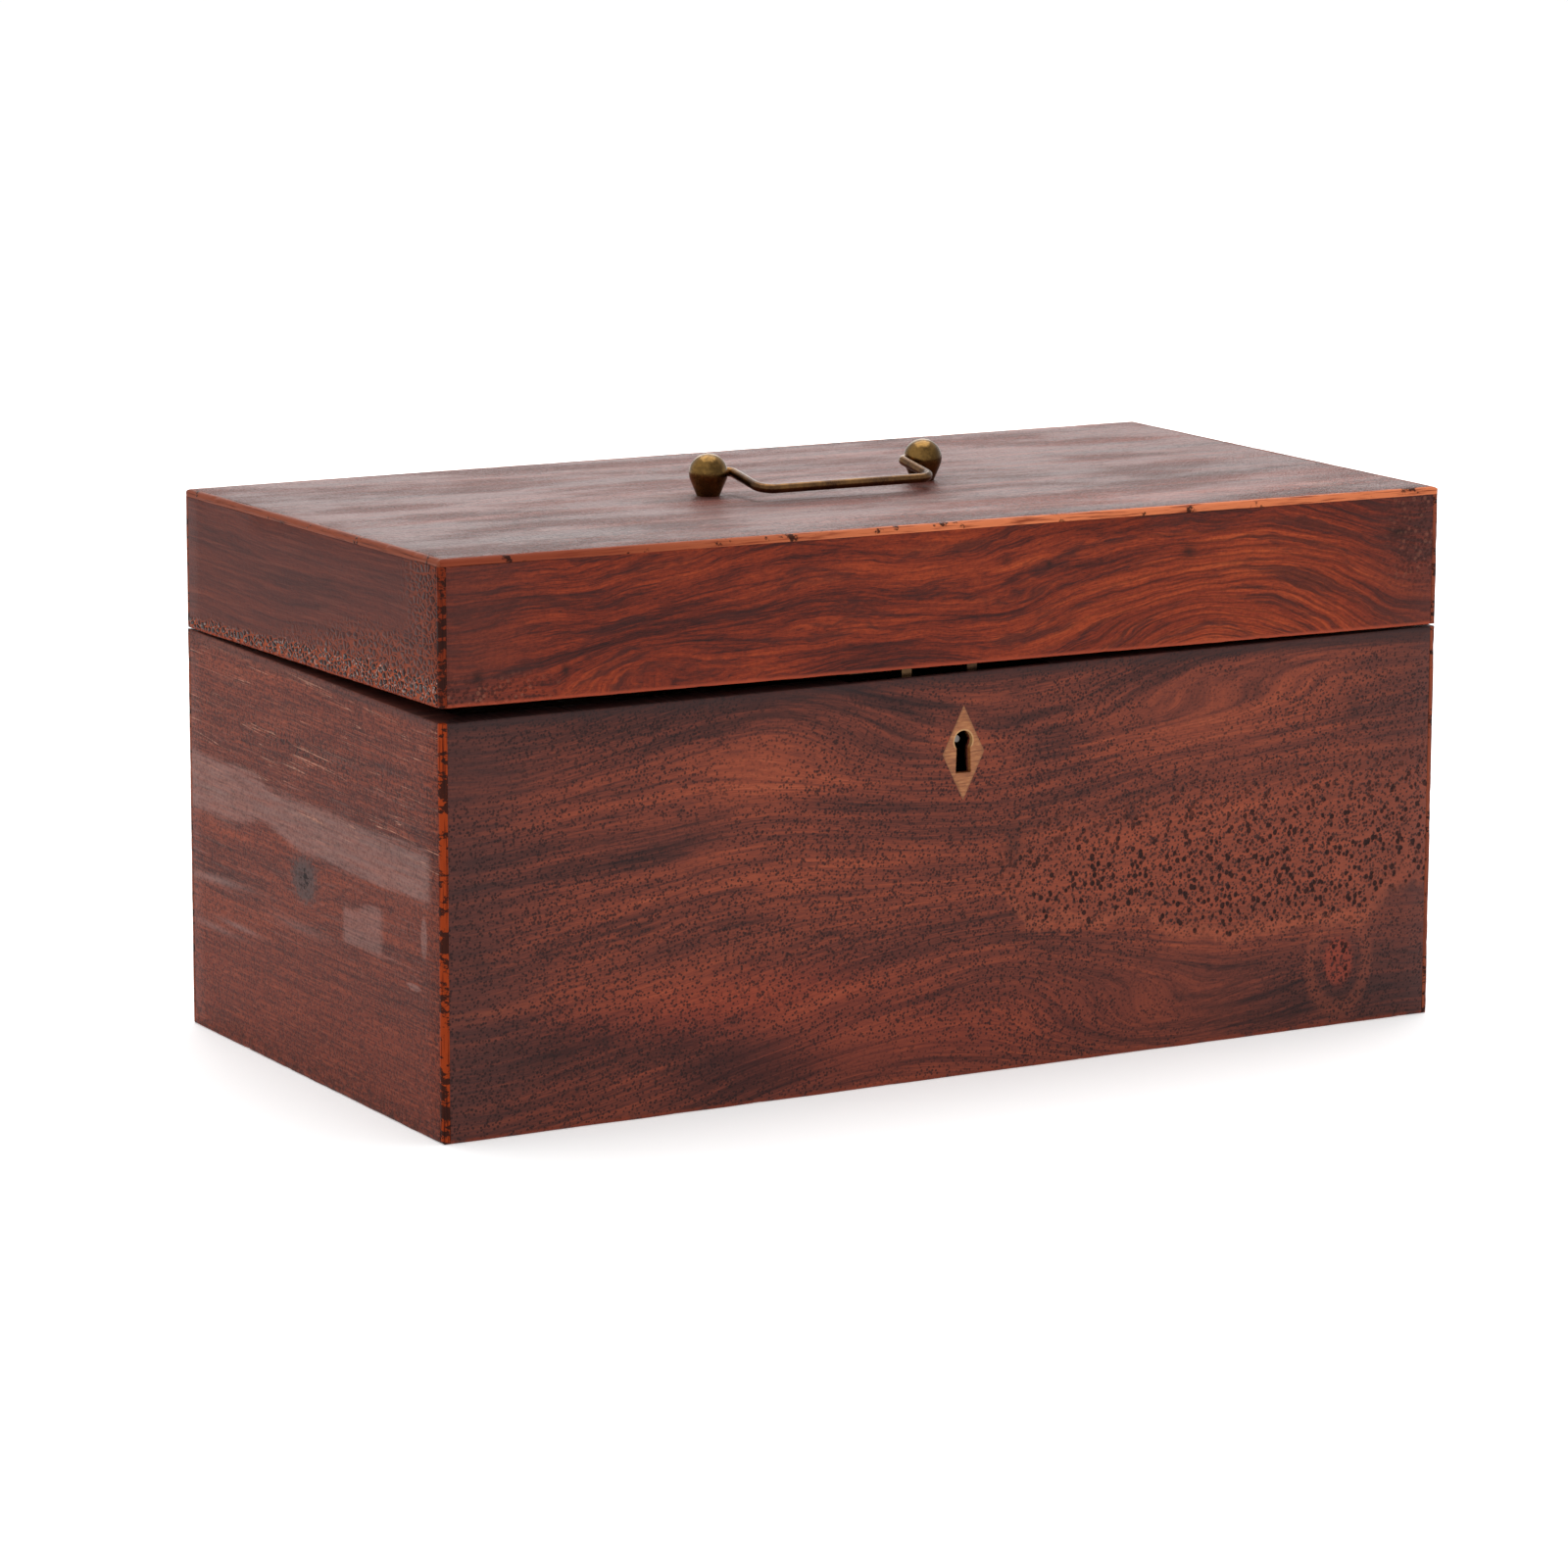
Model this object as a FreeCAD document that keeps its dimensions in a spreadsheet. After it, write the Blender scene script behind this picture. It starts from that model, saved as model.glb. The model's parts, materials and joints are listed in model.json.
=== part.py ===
# Tea caddy: a mitred hardwood box with corner stringing, a lid on stopped butt hinges, a link-plate
# lock behind an inlaid escutcheon, a brass swing handle, two tea compartments with lift-out inner
# lids and a glass mixing bowl between them.
# Millimetres. The origin is the centre of the base: +X runs right along the front, the front faces
# -Y and +Z is up. The lid is warped: its rim and top each rise by their own amount at every corner.
import FreeCAD, Part
import math
import os
import re

import Sketcher
from FreeCAD import Placement, Rotation, Vector

SIZES = {
    # the box
    "box_length": 305.0,
    "box_depth": 155.0,
    "body_height": 109.0,
    "lid_height": 38.0,
    "wall": 9.0,
    "base_thick": 7.0,
    "top_thick": 6.5,
    "string_width": 2.0,
    "string_round": 1.5,
    # how far a cut runs past a face, and how far one that must leave a piece reaches
    "overrun": 1.0,
    "clear_cut": 10.0,
    # how far the warped lid stands above its nominal rim and top at each corner
    "rim_front_left": 3.9,
    "rim_front_right": 0.6,
    "rim_back_left": 1.4,
    "rim_back_right": 0.3,
    "top_front_left": 3.9,
    "top_front_right": 0.6,
    "top_back_left": 1.4,
    "top_back_right": -0.2,
    # escutcheon and keyhole
    "key_x": 1.0,
    "key_z": 90.8,
    "key_head_radius": 2.8,
    "key_neck": 4.15,
    "key_foot": 4.7,
    "key_drop": 8.6,
    "inlay_z": 87.6,
    "inlay_width": 12.8,
    "inlay_height": 25.5,
    "inlay_thick": 1.5,
    # lock
    "lock_x": -2.0,
    "case_width": 46.0,
    "case_depth": 5.45,
    "case_drop": 28.0,
    "case_skin": 0.8,
    "plate_width": 62.0,
    "plate_drop": 31.0,
    "plate_thick": 1.2,
    "lock_screw_inset": 4.0,
    "lock_screw_high": 6.0,
    "lock_screw_low": 25.0,
    "selvedge_depth": 7.0,
    "selvedge_thick": 1.5,
    "drill_pin_radius": 0.9,
    "drill_pin_gap": 0.3,
    "fit_gap": 0.05,
    # link plate and bolt
    "link_x": -4.5,
    "link_spacing": 20.0,
    "link_plate_length": 56.0,
    "link_plate_depth": 6.5,
    "link_plate_thick": 1.5,
    "link_plate_lift": 2.1,
    "link_screw_inset": 4.0,
    "link_y": -71.95,
    "link_width": 3.0,
    "link_depth": 4.2,
    "link_drop": 7.6,
    "link_eye_width": 2.4,
    "link_eye_height": 2.8,
    "link_sole": 1.1,
    "link_root": 0.5,
    "link_side_gap": 0.3,
    "link_front_gap": 0.4,
    "bolt_thick": 1.6,
    "bolt_throw": 4.5,
    "finger_height": 2.0,
    "bolt_arm": 2.5,
    "finger_gap": 0.5,
    "finger_past_eye": 0.1,
    "bar_drop": 7.0,
    "bar_height": 4.0,
    "bar_end_inset": 7.0,
    "notch_width": 4.0,
    "notch_height": 1.5,
    "spring_gap": 0.2,
    "spring_fall": 4.6,
    "spring_root_thick": 1.2,
    "spring_thick": 0.6,
    "spring_bend": 7.2,
    "spring_under_bend": 7.4,
    "spring_length": 10.0,
    "spring_width": 3.0,
    # hinges
    "hinge_x": 95.0,
    "hinge_length": 38.0,
    "hinge_set_back": 1.0,
    "leaf_width": 6.85,
    "leaf_thick": 1.05,
    "leaf_gap": 0.1,
    "knuckle_radius": 2.0,
    "knuckle_gap": 0.2,
    "pin_radius": 0.9,
    "pin_clearance": 0.05,
    "knuckle_recess": 2.3,
    # screws
    "screw_radius": 1.0,
    "screw_head_radius": 1.9,
    "screw_head_height": 0.9,
    "screw_length": 6.0,
    "screw_slot_width": 0.5,
    "screw_slot_depth": 0.4,
    "pilot_radius": 0.9,
    # swing handle
    "handle_x": -1.0,
    "handle_y": -2.5,
    "post_spacing": 67.0,
    "ball_radius": 5.25,
    "ball_height": 6.1,
    "post_foot_radius": 3.15,
    "shank_radius": 2.0,
    "nut_width": 9.0,
    "nut_thick": 2.5,
    "nut_gap": 0.1,
    "shank_past_nut": 1.0,
    "bail_radius": 1.3,
    "bail_bore_radius": 1.36,
    "bail_arm_x": 26.6,
    "bail_reach": 17.5,
    "bail_stub_bend": 1.9,
    "bail_corner_bend": 4.0,
    "bail_stub_end": 1.0,
    "bail_rest_angle": 8.8,
    # fittings inside the body
    "partition_x": 48.0,
    "partition_thick": 5.0,
    "inner_lid_z": 99.0,
    "ledge_height": 6.0,
    "ledge_width": 3.0,
    "shelf_thick": 5.0,
    "foil_thick": 0.5,
    "inner_lid_thick": 5.0,
    "inner_lid_plug": 3.0,
    "inner_lid_gap": 0.3,
    "inner_lid_round": 1.5,
    "knob_radius": 7.0,
    "knob_height": 14.0,
    "knob_foot_radius": 5.25,
    "knob_foot_height": 1.12,
    "knob_neck_low": 3.92,
    "knob_neck_high": 5.04,
    "knob_head_low": 7.0,
    "knob_dome": 5.6,
    "knob_neck_radius": 3.4,
    "knob_dowel_radius": 2.5,
    "knob_dowel_length": 4.0,
    "bowl_rim_radius": 44.0,
    "bowl_hole_radius": 41.5,
    "bowl_rim_thick": 2.0,
    "bowl_height": 75.0,
    "bowl_wall": 3.0,
    "bowl_foot_radius": 17.0,
    "bowl_foot_height": 2.0,
    "bowl_foot_step": 3.0,
    "bowl_floor_step": 5.0,
    "bowl_floor": 4.0,
    "bowl_gap": 0.5,
    "bowl_neck_drop": 10.0,
    "bowl_curve": 80.0,
}

# Half widths, from the middle out: inside of the walls, inside of the strings, outer faces.
INNER_X, STRING_X, OUTER_X = "(box_length/2 - wall)", "(box_length/2 - string_width)", "(box_length/2)"
INNER_Y, STRING_Y, OUTER_Y = "(box_depth/2 - wall)", "(box_depth/2 - string_width)", "(box_depth/2)"
LEVELS = {"rim": "body_height", "top": "body_height + lid_height"}
# A lid wall or string is made a little too long, then cut to its mitres.
PAST_X, PAST_Y = "(box_length/2 + overrun)", "(box_depth/2 + overrun)"
PIN_Y = "(box_depth/2 + hinge_set_back)"
PIN_Z = "(body_height + leaf_gap/2)"
LEAF_EDGE = "(box_depth/2 + hinge_set_back - knuckle_radius - pin_clearance*3)"
LINK_PLATE_Z = "(body_height + link_plate_lift)"
PLATE_FACE = "(-box_depth/2 + wall)"
PLATE_BACK = "(-box_depth/2 + wall - plate_thick)"
SELVEDGE_Z = "(body_height - selvedge_thick)"
SIDES = {"left": -1, "right": 1}
ENDS = {"front": -1, "back": 1}
CORNERS = {f"{end}_{side}": (x, y) for end, y in ENDS.items() for side, x in SIDES.items()}

doc = FreeCAD.newDocument("TeaCaddy")
sheet = doc.addObject("Spreadsheet::Sheet", "Sizes")
pieces = []


def fill_sheet():
    for row, (name, value) in enumerate(SIZES.items(), start=1):
        sheet.set(f"A{row}", str(value))
        sheet.setAlias(f"A{row}", name)
    doc.recompute()


def bound(text):
    """The expression with each size name pointed at its cell."""
    return re.sub(r"[a-z]\w*", lambda m: f"Sizes.{m[0]}" if m[0] in SIZES else m[0], str(text))


def number(text):
    return float(sheet.evalExpression(bound(text)))


def place(item, x, y, z):
    for axis, text in zip("xyz", (x, y, z)):
        item.setExpression(f"Placement.Base.{axis}", bound(text))


def named(item, label):
    """Lists a finished piece under the name of its file."""
    item.Label = label
    pieces.append(item)
    return item


# ---- sketches and features -------------------------------------------------------------------


def new_body(label):
    return named(doc.addObject("PartDesign::Body", label), label)


def sketch_on(body, role, offset="0"):
    """A sketch on one of the body's origin planes. The offset is along the plane's own normal:
    +Z for XY_Plane, -Y for XZ_Plane, +X for YZ_Plane."""
    plane = next(item for item in body.Origin.OriginFeatures if item.Role == role)
    sketch = body.newObject("Sketcher::SketchObject", "Sketch")
    sketch.AttachmentSupport = [(plane, "")]
    sketch.MapMode = "FlatFace"
    sketch.setExpression("AttachmentOffset.Base.z", bound(offset))
    return sketch


def pin_point(sketch, index, end, x, y):
    for kind, text in (("DistanceX", x), ("DistanceY", y)):
        constraint = Sketcher.Constraint(kind, -1, 1, index, end, number(text))
        sketch.setExpression(f"Constraints[{sketch.addConstraint(constraint)}]", bound(text))


def set_radius(sketch, index, text):
    constraint = Sketcher.Constraint("Radius", index, abs(number(text)))
    sketch.setExpression(f"Constraints[{sketch.addConstraint(constraint)}]", bound(f"abs({text})"))


def add_circle(sketch, x, y, radius):
    centre = Vector(number(x), number(y), 0)
    index = sketch.addGeometry(Part.Circle(centre, Vector(0, 0, 1), number(radius)))
    pin_point(sketch, index, 3, x, y)
    set_radius(sketch, index, radius)


def arc_between(start, end, radius, to_left):
    """The shorter arc, drawn anticlockwise, and whether start is its first end."""
    chord = end - start
    sag = math.sqrt(max(radius**2 - (chord.Length / 2) ** 2, 0))
    across = Vector(-chord.y, chord.x, 0).normalize() * (sag if to_left else -sag)
    centre = (start + end) / 2 + across
    first, last = (start, end) if to_left else (end, start)
    angles = [math.atan2(spot.y - centre.y, spot.x - centre.x) for spot in (first, last)]
    return Part.ArcOfCircle(Part.Circle(centre, Vector(0, 0, 1), abs(radius)), *angles)


def add_path(sketch, points, closed=True):
    """Joins the points. A third item on a point is the radius of the arc from it to the next one:
    positive where the arc bulges to the outside of the loop, or turns left on an open path."""
    spots = [Vector(number(point[0]), number(point[1]), 0) for point in points]
    turn = sum(a.x * b.y - b.x * a.y for a, b in zip(spots, spots[1:] + spots[:1]))
    count = len(points) if closed else len(points) - 1
    ends = []
    for i in range(count):
        start, end = spots[i], spots[(i + 1) % len(spots)]
        if len(points[i]) == 2:
            index = sketch.addGeometry(Part.LineSegment(start, end))
            ends.append((index, 1, 2))
        else:
            radius = number(points[i][2])
            to_left = (radius > 0) == (turn > 0 or not closed)
            index = sketch.addGeometry(arc_between(start, end, radius, to_left))
            set_radius(sketch, index, points[i][2])
            ends.append((index, 1, 2) if to_left else (index, 2, 1))
    for i, (index, first, last) in enumerate(ends):
        pin_point(sketch, index, first, *points[i][:2])
        if closed or i + 1 < count:
            after = ends[(i + 1) % count]
            sketch.addConstraint(Sketcher.Constraint("Coincident", index, last, after[0], after[1]))
    if not closed:
        pin_point(sketch, ends[-1][0], ends[-1][2], *points[-1][:2])


def rect(x_low, x_high, y_low, y_high):
    return [(x_low, y_low), (x_high, y_low), (x_high, y_high), (x_low, y_high)]


def feature(body, kind, sketch, length):
    item = body.newObject(f"PartDesign::{kind}", kind)
    item.Profile = sketch
    item.setExpression("Length", bound(length))
    return item


def pad(body, role, offset, points, length):
    """A prism from the sketch plane along its normal."""
    sketch = sketch_on(body, role, offset)
    add_path(sketch, points)
    return feature(body, "Pad", sketch, length)


def pocket(body, role, offset, points, length):
    """Cuts from the sketch plane against its normal."""
    sketch = sketch_on(body, role, offset)
    add_path(sketch, points)
    return feature(body, "Pocket", sketch, length)


def drill(body, role, offset, centres, radius, length):
    """Round holes from the sketch plane against its normal."""
    sketch = sketch_on(body, role, offset)
    for x, y in centres:
        add_circle(sketch, x, y, radius)
    return feature(body, "Pocket", sketch, length)


def turned(body, points):
    """A full turn of a profile in XZ about the body's Z axis."""
    sketch = sketch_on(body, "XZ_Plane")
    add_path(sketch, points)
    item = body.newObject("PartDesign::Revolution", "Turned")
    item.Profile = sketch
    item.ReferenceAxis = (sketch, ["V_Axis"])
    item.Angle = 360
    return item


def solid_box(label, x, y, z):
    """A plain box from (low, high) pairs."""
    item = doc.addObject("Part::Box", label)
    for name, (low, high) in zip(("Length", "Width", "Height"), (x, y, z)):
        item.setExpression(name, bound(f"({high}) - ({low})"))
    place(item, x[0], y[0], z[0])
    return item


def group(label, members):
    item = doc.addObject("Part::Compound", label)
    item.Links = members
    return named(item, label)


# ---- the warped lid --------------------------------------------------------------------------


def lid_z(level, x, y, above="0"):
    """Height of the lid's rim or top at a point, plus an amount."""
    along, across = f"(({x})/box_length + 0.5)", f"(({y})/box_depth + 0.5)"
    front, back = (
        f"({level}_{end}_left + ({level}_{end}_right - {level}_{end}_left)*{along})"
        for end in ENDS
    )
    return f"({LEVELS[level]} + {above} + {front} + ({back} - {front})*{across})"


def warped(body, axis, ends, section):
    """A ruled block between two upright sections across the given axis. A section point is its
    place across, its level, its height over that level and, where an arc follows, a radius."""
    role, sign = ("YZ_Plane", "1") if axis == "x" else ("XZ_Plane", "-1")
    sketches = []
    for end in ends:
        sketch = sketch_on(body, role, f"{sign}*({end})")
        points = []
        for across, level, above, *radius in section:
            x, y = (end, across) if axis == "x" else (across, end)
            points.append((across, lid_z(level, x, y, above), *radius))
        add_path(sketch, points)
        sketches.append(sketch)
    loft = body.newObject("PartDesign::AdditiveLoft", "Warped")
    loft.Profile = sketches[0]
    loft.Sections = sketches[1:]
    loft.Ruled = True


def keep(body, points):
    """Cuts away all that is outside an outline in plan."""
    over = "(body_height + lid_height + clear_cut)"
    sketch = sketch_on(body, "XY_Plane", over)
    reach_x, reach_y = f"({OUTER_X} + clear_cut)", f"({OUTER_Y} + clear_cut)"
    add_path(sketch, rect(f"-{reach_x}", reach_x, f"-{reach_y}", reach_y))
    add_path(sketch, points)
    feature(body, "Pocket", sketch, over)


def plan(points, x_sign=1, y_sign=1):
    """An outline for the front or the front left, mirrored to another side."""
    return [(f"{x_sign}*{x}", f"{y_sign}*{y}", *rest) for x, y, *rest in points]


FRONT_BOARD = [
    (f"-{STRING_X}", f"-{OUTER_Y}"),
    (STRING_X, f"-{OUTER_Y}"),
    (STRING_X, f"-{STRING_Y}"),
    (INNER_X, f"-{INNER_Y}"),
    (f"-{INNER_X}", f"-{INNER_Y}"),
    (f"-{STRING_X}", f"-{STRING_Y}"),
]
LEFT_BOARD = [
    (f"-{OUTER_X}", f"-{STRING_Y}"),
    (f"-{STRING_X}", f"-{STRING_Y}"),
    (f"-{INNER_X}", f"-{INNER_Y}"),
    (f"-{INNER_X}", INNER_Y),
    (f"-{STRING_X}", STRING_Y),
    (f"-{OUTER_X}", STRING_Y),
]
CORNER_STRING = [
    (f"-({OUTER_X} - string_round)", f"-{OUTER_Y}"),
    (f"-{STRING_X}", f"-{OUTER_Y}"),
    (f"-{STRING_X}", f"-{STRING_Y}"),
    (f"-{OUTER_X}", f"-{STRING_Y}"),
    (f"-{OUTER_X}", f"-({OUTER_Y} - string_round)", "string_round"),
]
BOARDS = {
    "front": plan(FRONT_BOARD),
    "back": plan(FRONT_BOARD, y_sign=-1),
    "left": plan(LEFT_BOARD),
    "right": plan(LEFT_BOARD, x_sign=-1),
}


# ---- screws ----------------------------------------------------------------------------------


def screw(spot, turn):
    """A slotted countersunk screw. Its head's face is at the spot, and turn is the rotation about
    X that brings +Z to the way the head faces."""
    shank = doc.addObject("Part::Cylinder", "ScrewShank")
    shank.setExpression("Radius", bound("screw_radius"))
    shank.setExpression("Height", bound("screw_length - screw_head_height"))
    shank.setExpression("Placement.Base.z", bound("-screw_length"))
    head = doc.addObject("Part::Cone", "ScrewHead")
    head.setExpression("Radius1", bound("screw_radius"))
    head.setExpression("Radius2", bound("screw_head_radius"))
    head.setExpression("Height", bound("screw_head_height"))
    head.setExpression("Placement.Base.z", bound("-screw_head_height"))
    slot = solid_box(
        "ScrewSlot",
        ("-screw_head_radius", "screw_head_radius"),
        ("-screw_slot_width/2", "screw_slot_width/2"),
        ("-screw_slot_depth", "overrun"),
    )
    whole = doc.addObject("Part::MultiFuse", "ScrewBlank")
    whole.Shapes = [shank, head]
    cut = doc.addObject("Part::Cut", "Screw")
    cut.Base, cut.Tool = whole, slot
    cut.Placement = Placement(Vector(0, 0, 0), Rotation(Vector(1, 0, 0), turn))
    place(cut, *spot)
    return cut


def countersinks(body, spots, turn):
    """Seats for screw heads, and clearance for their shanks, in a thin plate."""
    for spot in spots:
        for kind, start in (("Cone", "-screw_head_height"), ("Cylinder", "-2*plate_thick")):
            item = body.newObject(f"PartDesign::Subtractive{kind}", "ScrewSeat")
            if kind == "Cone":
                item.setExpression("Radius1", bound("screw_radius"))
                item.setExpression("Radius2", bound("screw_head_radius"))
                item.setExpression("Height", bound("screw_head_height"))
            else:
                item.setExpression("Radius", bound("screw_radius"))
                item.setExpression("Height", bound("2*plate_thick"))
            turned_way = Rotation(Vector(1, 0, 0), turn)
            way = turned_way.multVec(Vector(0, 0, 1))
            item.Placement = Placement(Vector(0, 0, 0), turned_way)
            shifted = [f"({text}) + ({start})*{round(step)}" for text, step in zip(spot, way)]
            place(item, *shifted)


FACING_UP, FACING_DOWN, FACING_IN = 0, 180, -90


# ---- the body's case -------------------------------------------------------------------------


def keyhole(body, offset, length):
    """Round head over a tapered slot, cut inwards from a plane in front of the box."""
    drill(body, "XZ_Plane", offset, [("key_x", "key_z")], "key_head_radius", length)
    foot_z = "key_z - key_drop"
    slot = [
        ("key_x - key_foot/2", foot_z),
        ("key_x + key_foot/2", foot_z),
        ("key_x + key_neck/2", "key_z"),
        ("key_x - key_neck/2", "key_z"),
    ]
    pocket(body, "XZ_Plane", offset, slot, length)


def inlay_outline():
    half_width, half_height = "inlay_width/2", "inlay_height/2"
    return [
        (f"key_x - {half_width}", "inlay_z"),
        ("key_x", f"inlay_z - {half_height}"),
        (f"key_x + {half_width}", "inlay_z"),
        ("key_x", f"inlay_z + {half_height}"),
    ]


def lock_screw_spots():
    reach = "(plate_width/2 - lock_screw_inset)"
    return [
        (f"lock_x + {side}*{reach}", PLATE_FACE, f"body_height - {drop}")
        for side in SIDES.values()
        for drop in ("lock_screw_high", "lock_screw_low")
    ]


def link_screw_spots():
    reach = "(link_plate_length/2 - link_screw_inset)"
    return [(f"link_x + {side}*{reach}", "link_y", LINK_PLATE_Z) for side in SIDES.values()]


def hinge_screw_spots(side, height):
    middle = f"{LEAF_EDGE} - leaf_width/2"
    return [(f"{side}*hinge_x + {step}*hinge_length/3", middle, height) for step in (-1, 0, 1)]


def cut_lock_seat(body):
    """Case, back plate and selvedge are let into the front board from inside."""
    half_case, half_plate = "(case_width/2 + fit_gap)", "(plate_width/2 + fit_gap)"
    case_sides = (f"lock_x - {half_case}", f"lock_x + {half_case}")
    plate_sides = (f"lock_x - {half_plate}", f"lock_x + {half_plate}")
    case_front = f"({PLATE_BACK} - case_depth - fit_gap)"
    selvedge_front = f"({PLATE_FACE} - selvedge_depth)"
    for sides, foot, front in (
        (case_sides, "body_height - case_drop - fit_gap", case_front),
        (plate_sides, "body_height - plate_drop - fit_gap", PLATE_BACK),
        (plate_sides, SELVEDGE_Z, selvedge_front),
    ):
        opening = rect(*sides, foot, "body_height + overrun")
        pocket(body, "XZ_Plane", f"-{front}", opening, f"-{INNER_Y} + overrun - {front}")
    holes = [(x, z) for x, y, z in lock_screw_spots()]
    depth = "(screw_length - plate_thick)"
    drill(body, "XZ_Plane", f"-({PLATE_BACK} - {depth})", holes, "pilot_radius", depth)


def cut_hinge_seat(body, side, leaf_z, way):
    """A mortise for the leaf and a round recess for the knuckles, on the board's upper (way 1)
    or lower (way -1) edge."""
    half = "(hinge_length/2 + fit_gap)"
    across = (f"{side}*hinge_x - {half}", f"{side}*hinge_x + {half}")
    seat = rect(*across, f"{LEAF_EDGE} - leaf_width - fit_gap", f"{OUTER_Y} + overrun")
    pocket(body, "XY_Plane", f"{leaf_z} + clear_cut" if way > 0 else leaf_z, seat, "clear_cut")
    drill(body, "YZ_Plane", across[1], [(PIN_Y, PIN_Z)], "knuckle_recess", f"2*{half}")
    pilots = [(x, y) for x, y, z in hinge_screw_spots(side, leaf_z)]
    start = leaf_z if way > 0 else f"{leaf_z} + screw_length - leaf_thick"
    drill(body, "XY_Plane", start, pilots, "pilot_radius", "screw_length - leaf_thick")


BODY_LEAF_LOW = "(body_height - leaf_thick)"
LID_LEAF_HIGH = "(body_height + leaf_gap + leaf_thick)"


def make_case():
    x, y = (f"-{INNER_X}", INNER_X), (f"-{INNER_Y}", INNER_Y)
    base = solid_box("BaseBoard", x, y, ("0", "base_thick"))
    named(base, "base_board")
    for name, outline in BOARDS.items():
        board = new_body(f"{name}_board")
        pad(board, "XY_Plane", "0", outline, "body_height")
        if name == "front":
            front = f"{OUTER_Y} + overrun"
            keyhole(board, front, "wall + 2*overrun")
            pocket(board, "XZ_Plane", front, inlay_outline(), "inlay_thick + overrun")
            cut_lock_seat(board)
        if name == "back":
            for side in SIDES.values():
                cut_hinge_seat(board, side, BODY_LEAF_LOW, 1)
    for name, (x, y) in CORNERS.items():
        string = new_body(f"corner_string_{name}")
        pad(string, "XY_Plane", "0", plan(CORNER_STRING, -x, -y), "body_height")


def make_escutcheon():
    inlay = new_body("escutcheon")
    pad(inlay, "XZ_Plane", f"{OUTER_Y} - inlay_thick", inlay_outline(), "inlay_thick")
    keyhole(inlay, f"{OUTER_Y} + overrun", "inlay_thick + 2*overrun")


# ---- inside fittings -------------------------------------------------------------------------


def make_partitions():
    half = "partition_thick/2"
    for name, side in SIDES.items():
        middle = f"{side}*partition_x"
        x = (f"{middle} - {half}", f"{middle} + {half}")
        y = (f"-{INNER_Y}", INNER_Y)
        partition = solid_box("Partition", x, y, ("base_thick", "inner_lid_z"))
        named(partition, f"partition_{name}")


def compartment(side):
    """Low and high x of a tea compartment."""
    near, far = "(partition_x + partition_thick/2)", INNER_X
    return (f"-{far}", f"-{near}") if side < 0 else (near, far)


def strips(label, x, z):
    """Four strips round the inside of a rectangular space, under whatever rests there."""
    low_x, high_x = x
    ends = [
        (low_x, f"{low_x} + ledge_width"),
        (f"{high_x} - ledge_width", high_x),
    ]
    rails = [(f"-{INNER_Y}", f"-{INNER_Y} + ledge_width"), (f"{INNER_Y} - ledge_width", INNER_Y)]
    between = (f"{low_x} + ledge_width", f"{high_x} - ledge_width")
    members = [solid_box("EndStrip", end, (f"-{INNER_Y}", INNER_Y), z) for end in ends]
    members += [solid_box("RailStrip", between, rail, z) for rail in rails]
    group(label, members)


def make_tea_foil(name, side):
    """A thin lining: a box open at the top."""
    low_x, high_x = compartment(side)
    top = "inner_lid_z - ledge_height"
    outer = solid_box("FoilOuter", (low_x, high_x), (f"-{INNER_Y}", INNER_Y), ("base_thick", top))
    hollow = solid_box(
        "FoilHollow",
        (f"{low_x} + foil_thick", f"{high_x} - foil_thick"),
        (f"-{INNER_Y} + foil_thick", f"{INNER_Y} - foil_thick"),
        ("base_thick + foil_thick", f"{top} + overrun"),
    )
    lining = doc.addObject("Part::Cut", f"TeaFoil{name}")
    lining.Base, lining.Tool = outer, hollow
    named(lining, f"tea_foil_{name}")


def make_bowl_shelf():
    half = "(partition_x - partition_thick/2)"
    under = "inner_lid_z - shelf_thick"
    shelf = new_body("bowl_shelf")
    pad(shelf, "XY_Plane", under, rect(f"-{half}", half, f"-{INNER_Y}", INNER_Y), "shelf_thick")
    start, length = "inner_lid_z + overrun", "shelf_thick + 2*overrun"
    drill(shelf, "XY_Plane", start, [("0", "0")], "bowl_hole_radius", length)
    strips("bowl_shelf_ledges", (f"-{half}", half), (f"{under} - ledge_height", under))


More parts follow.
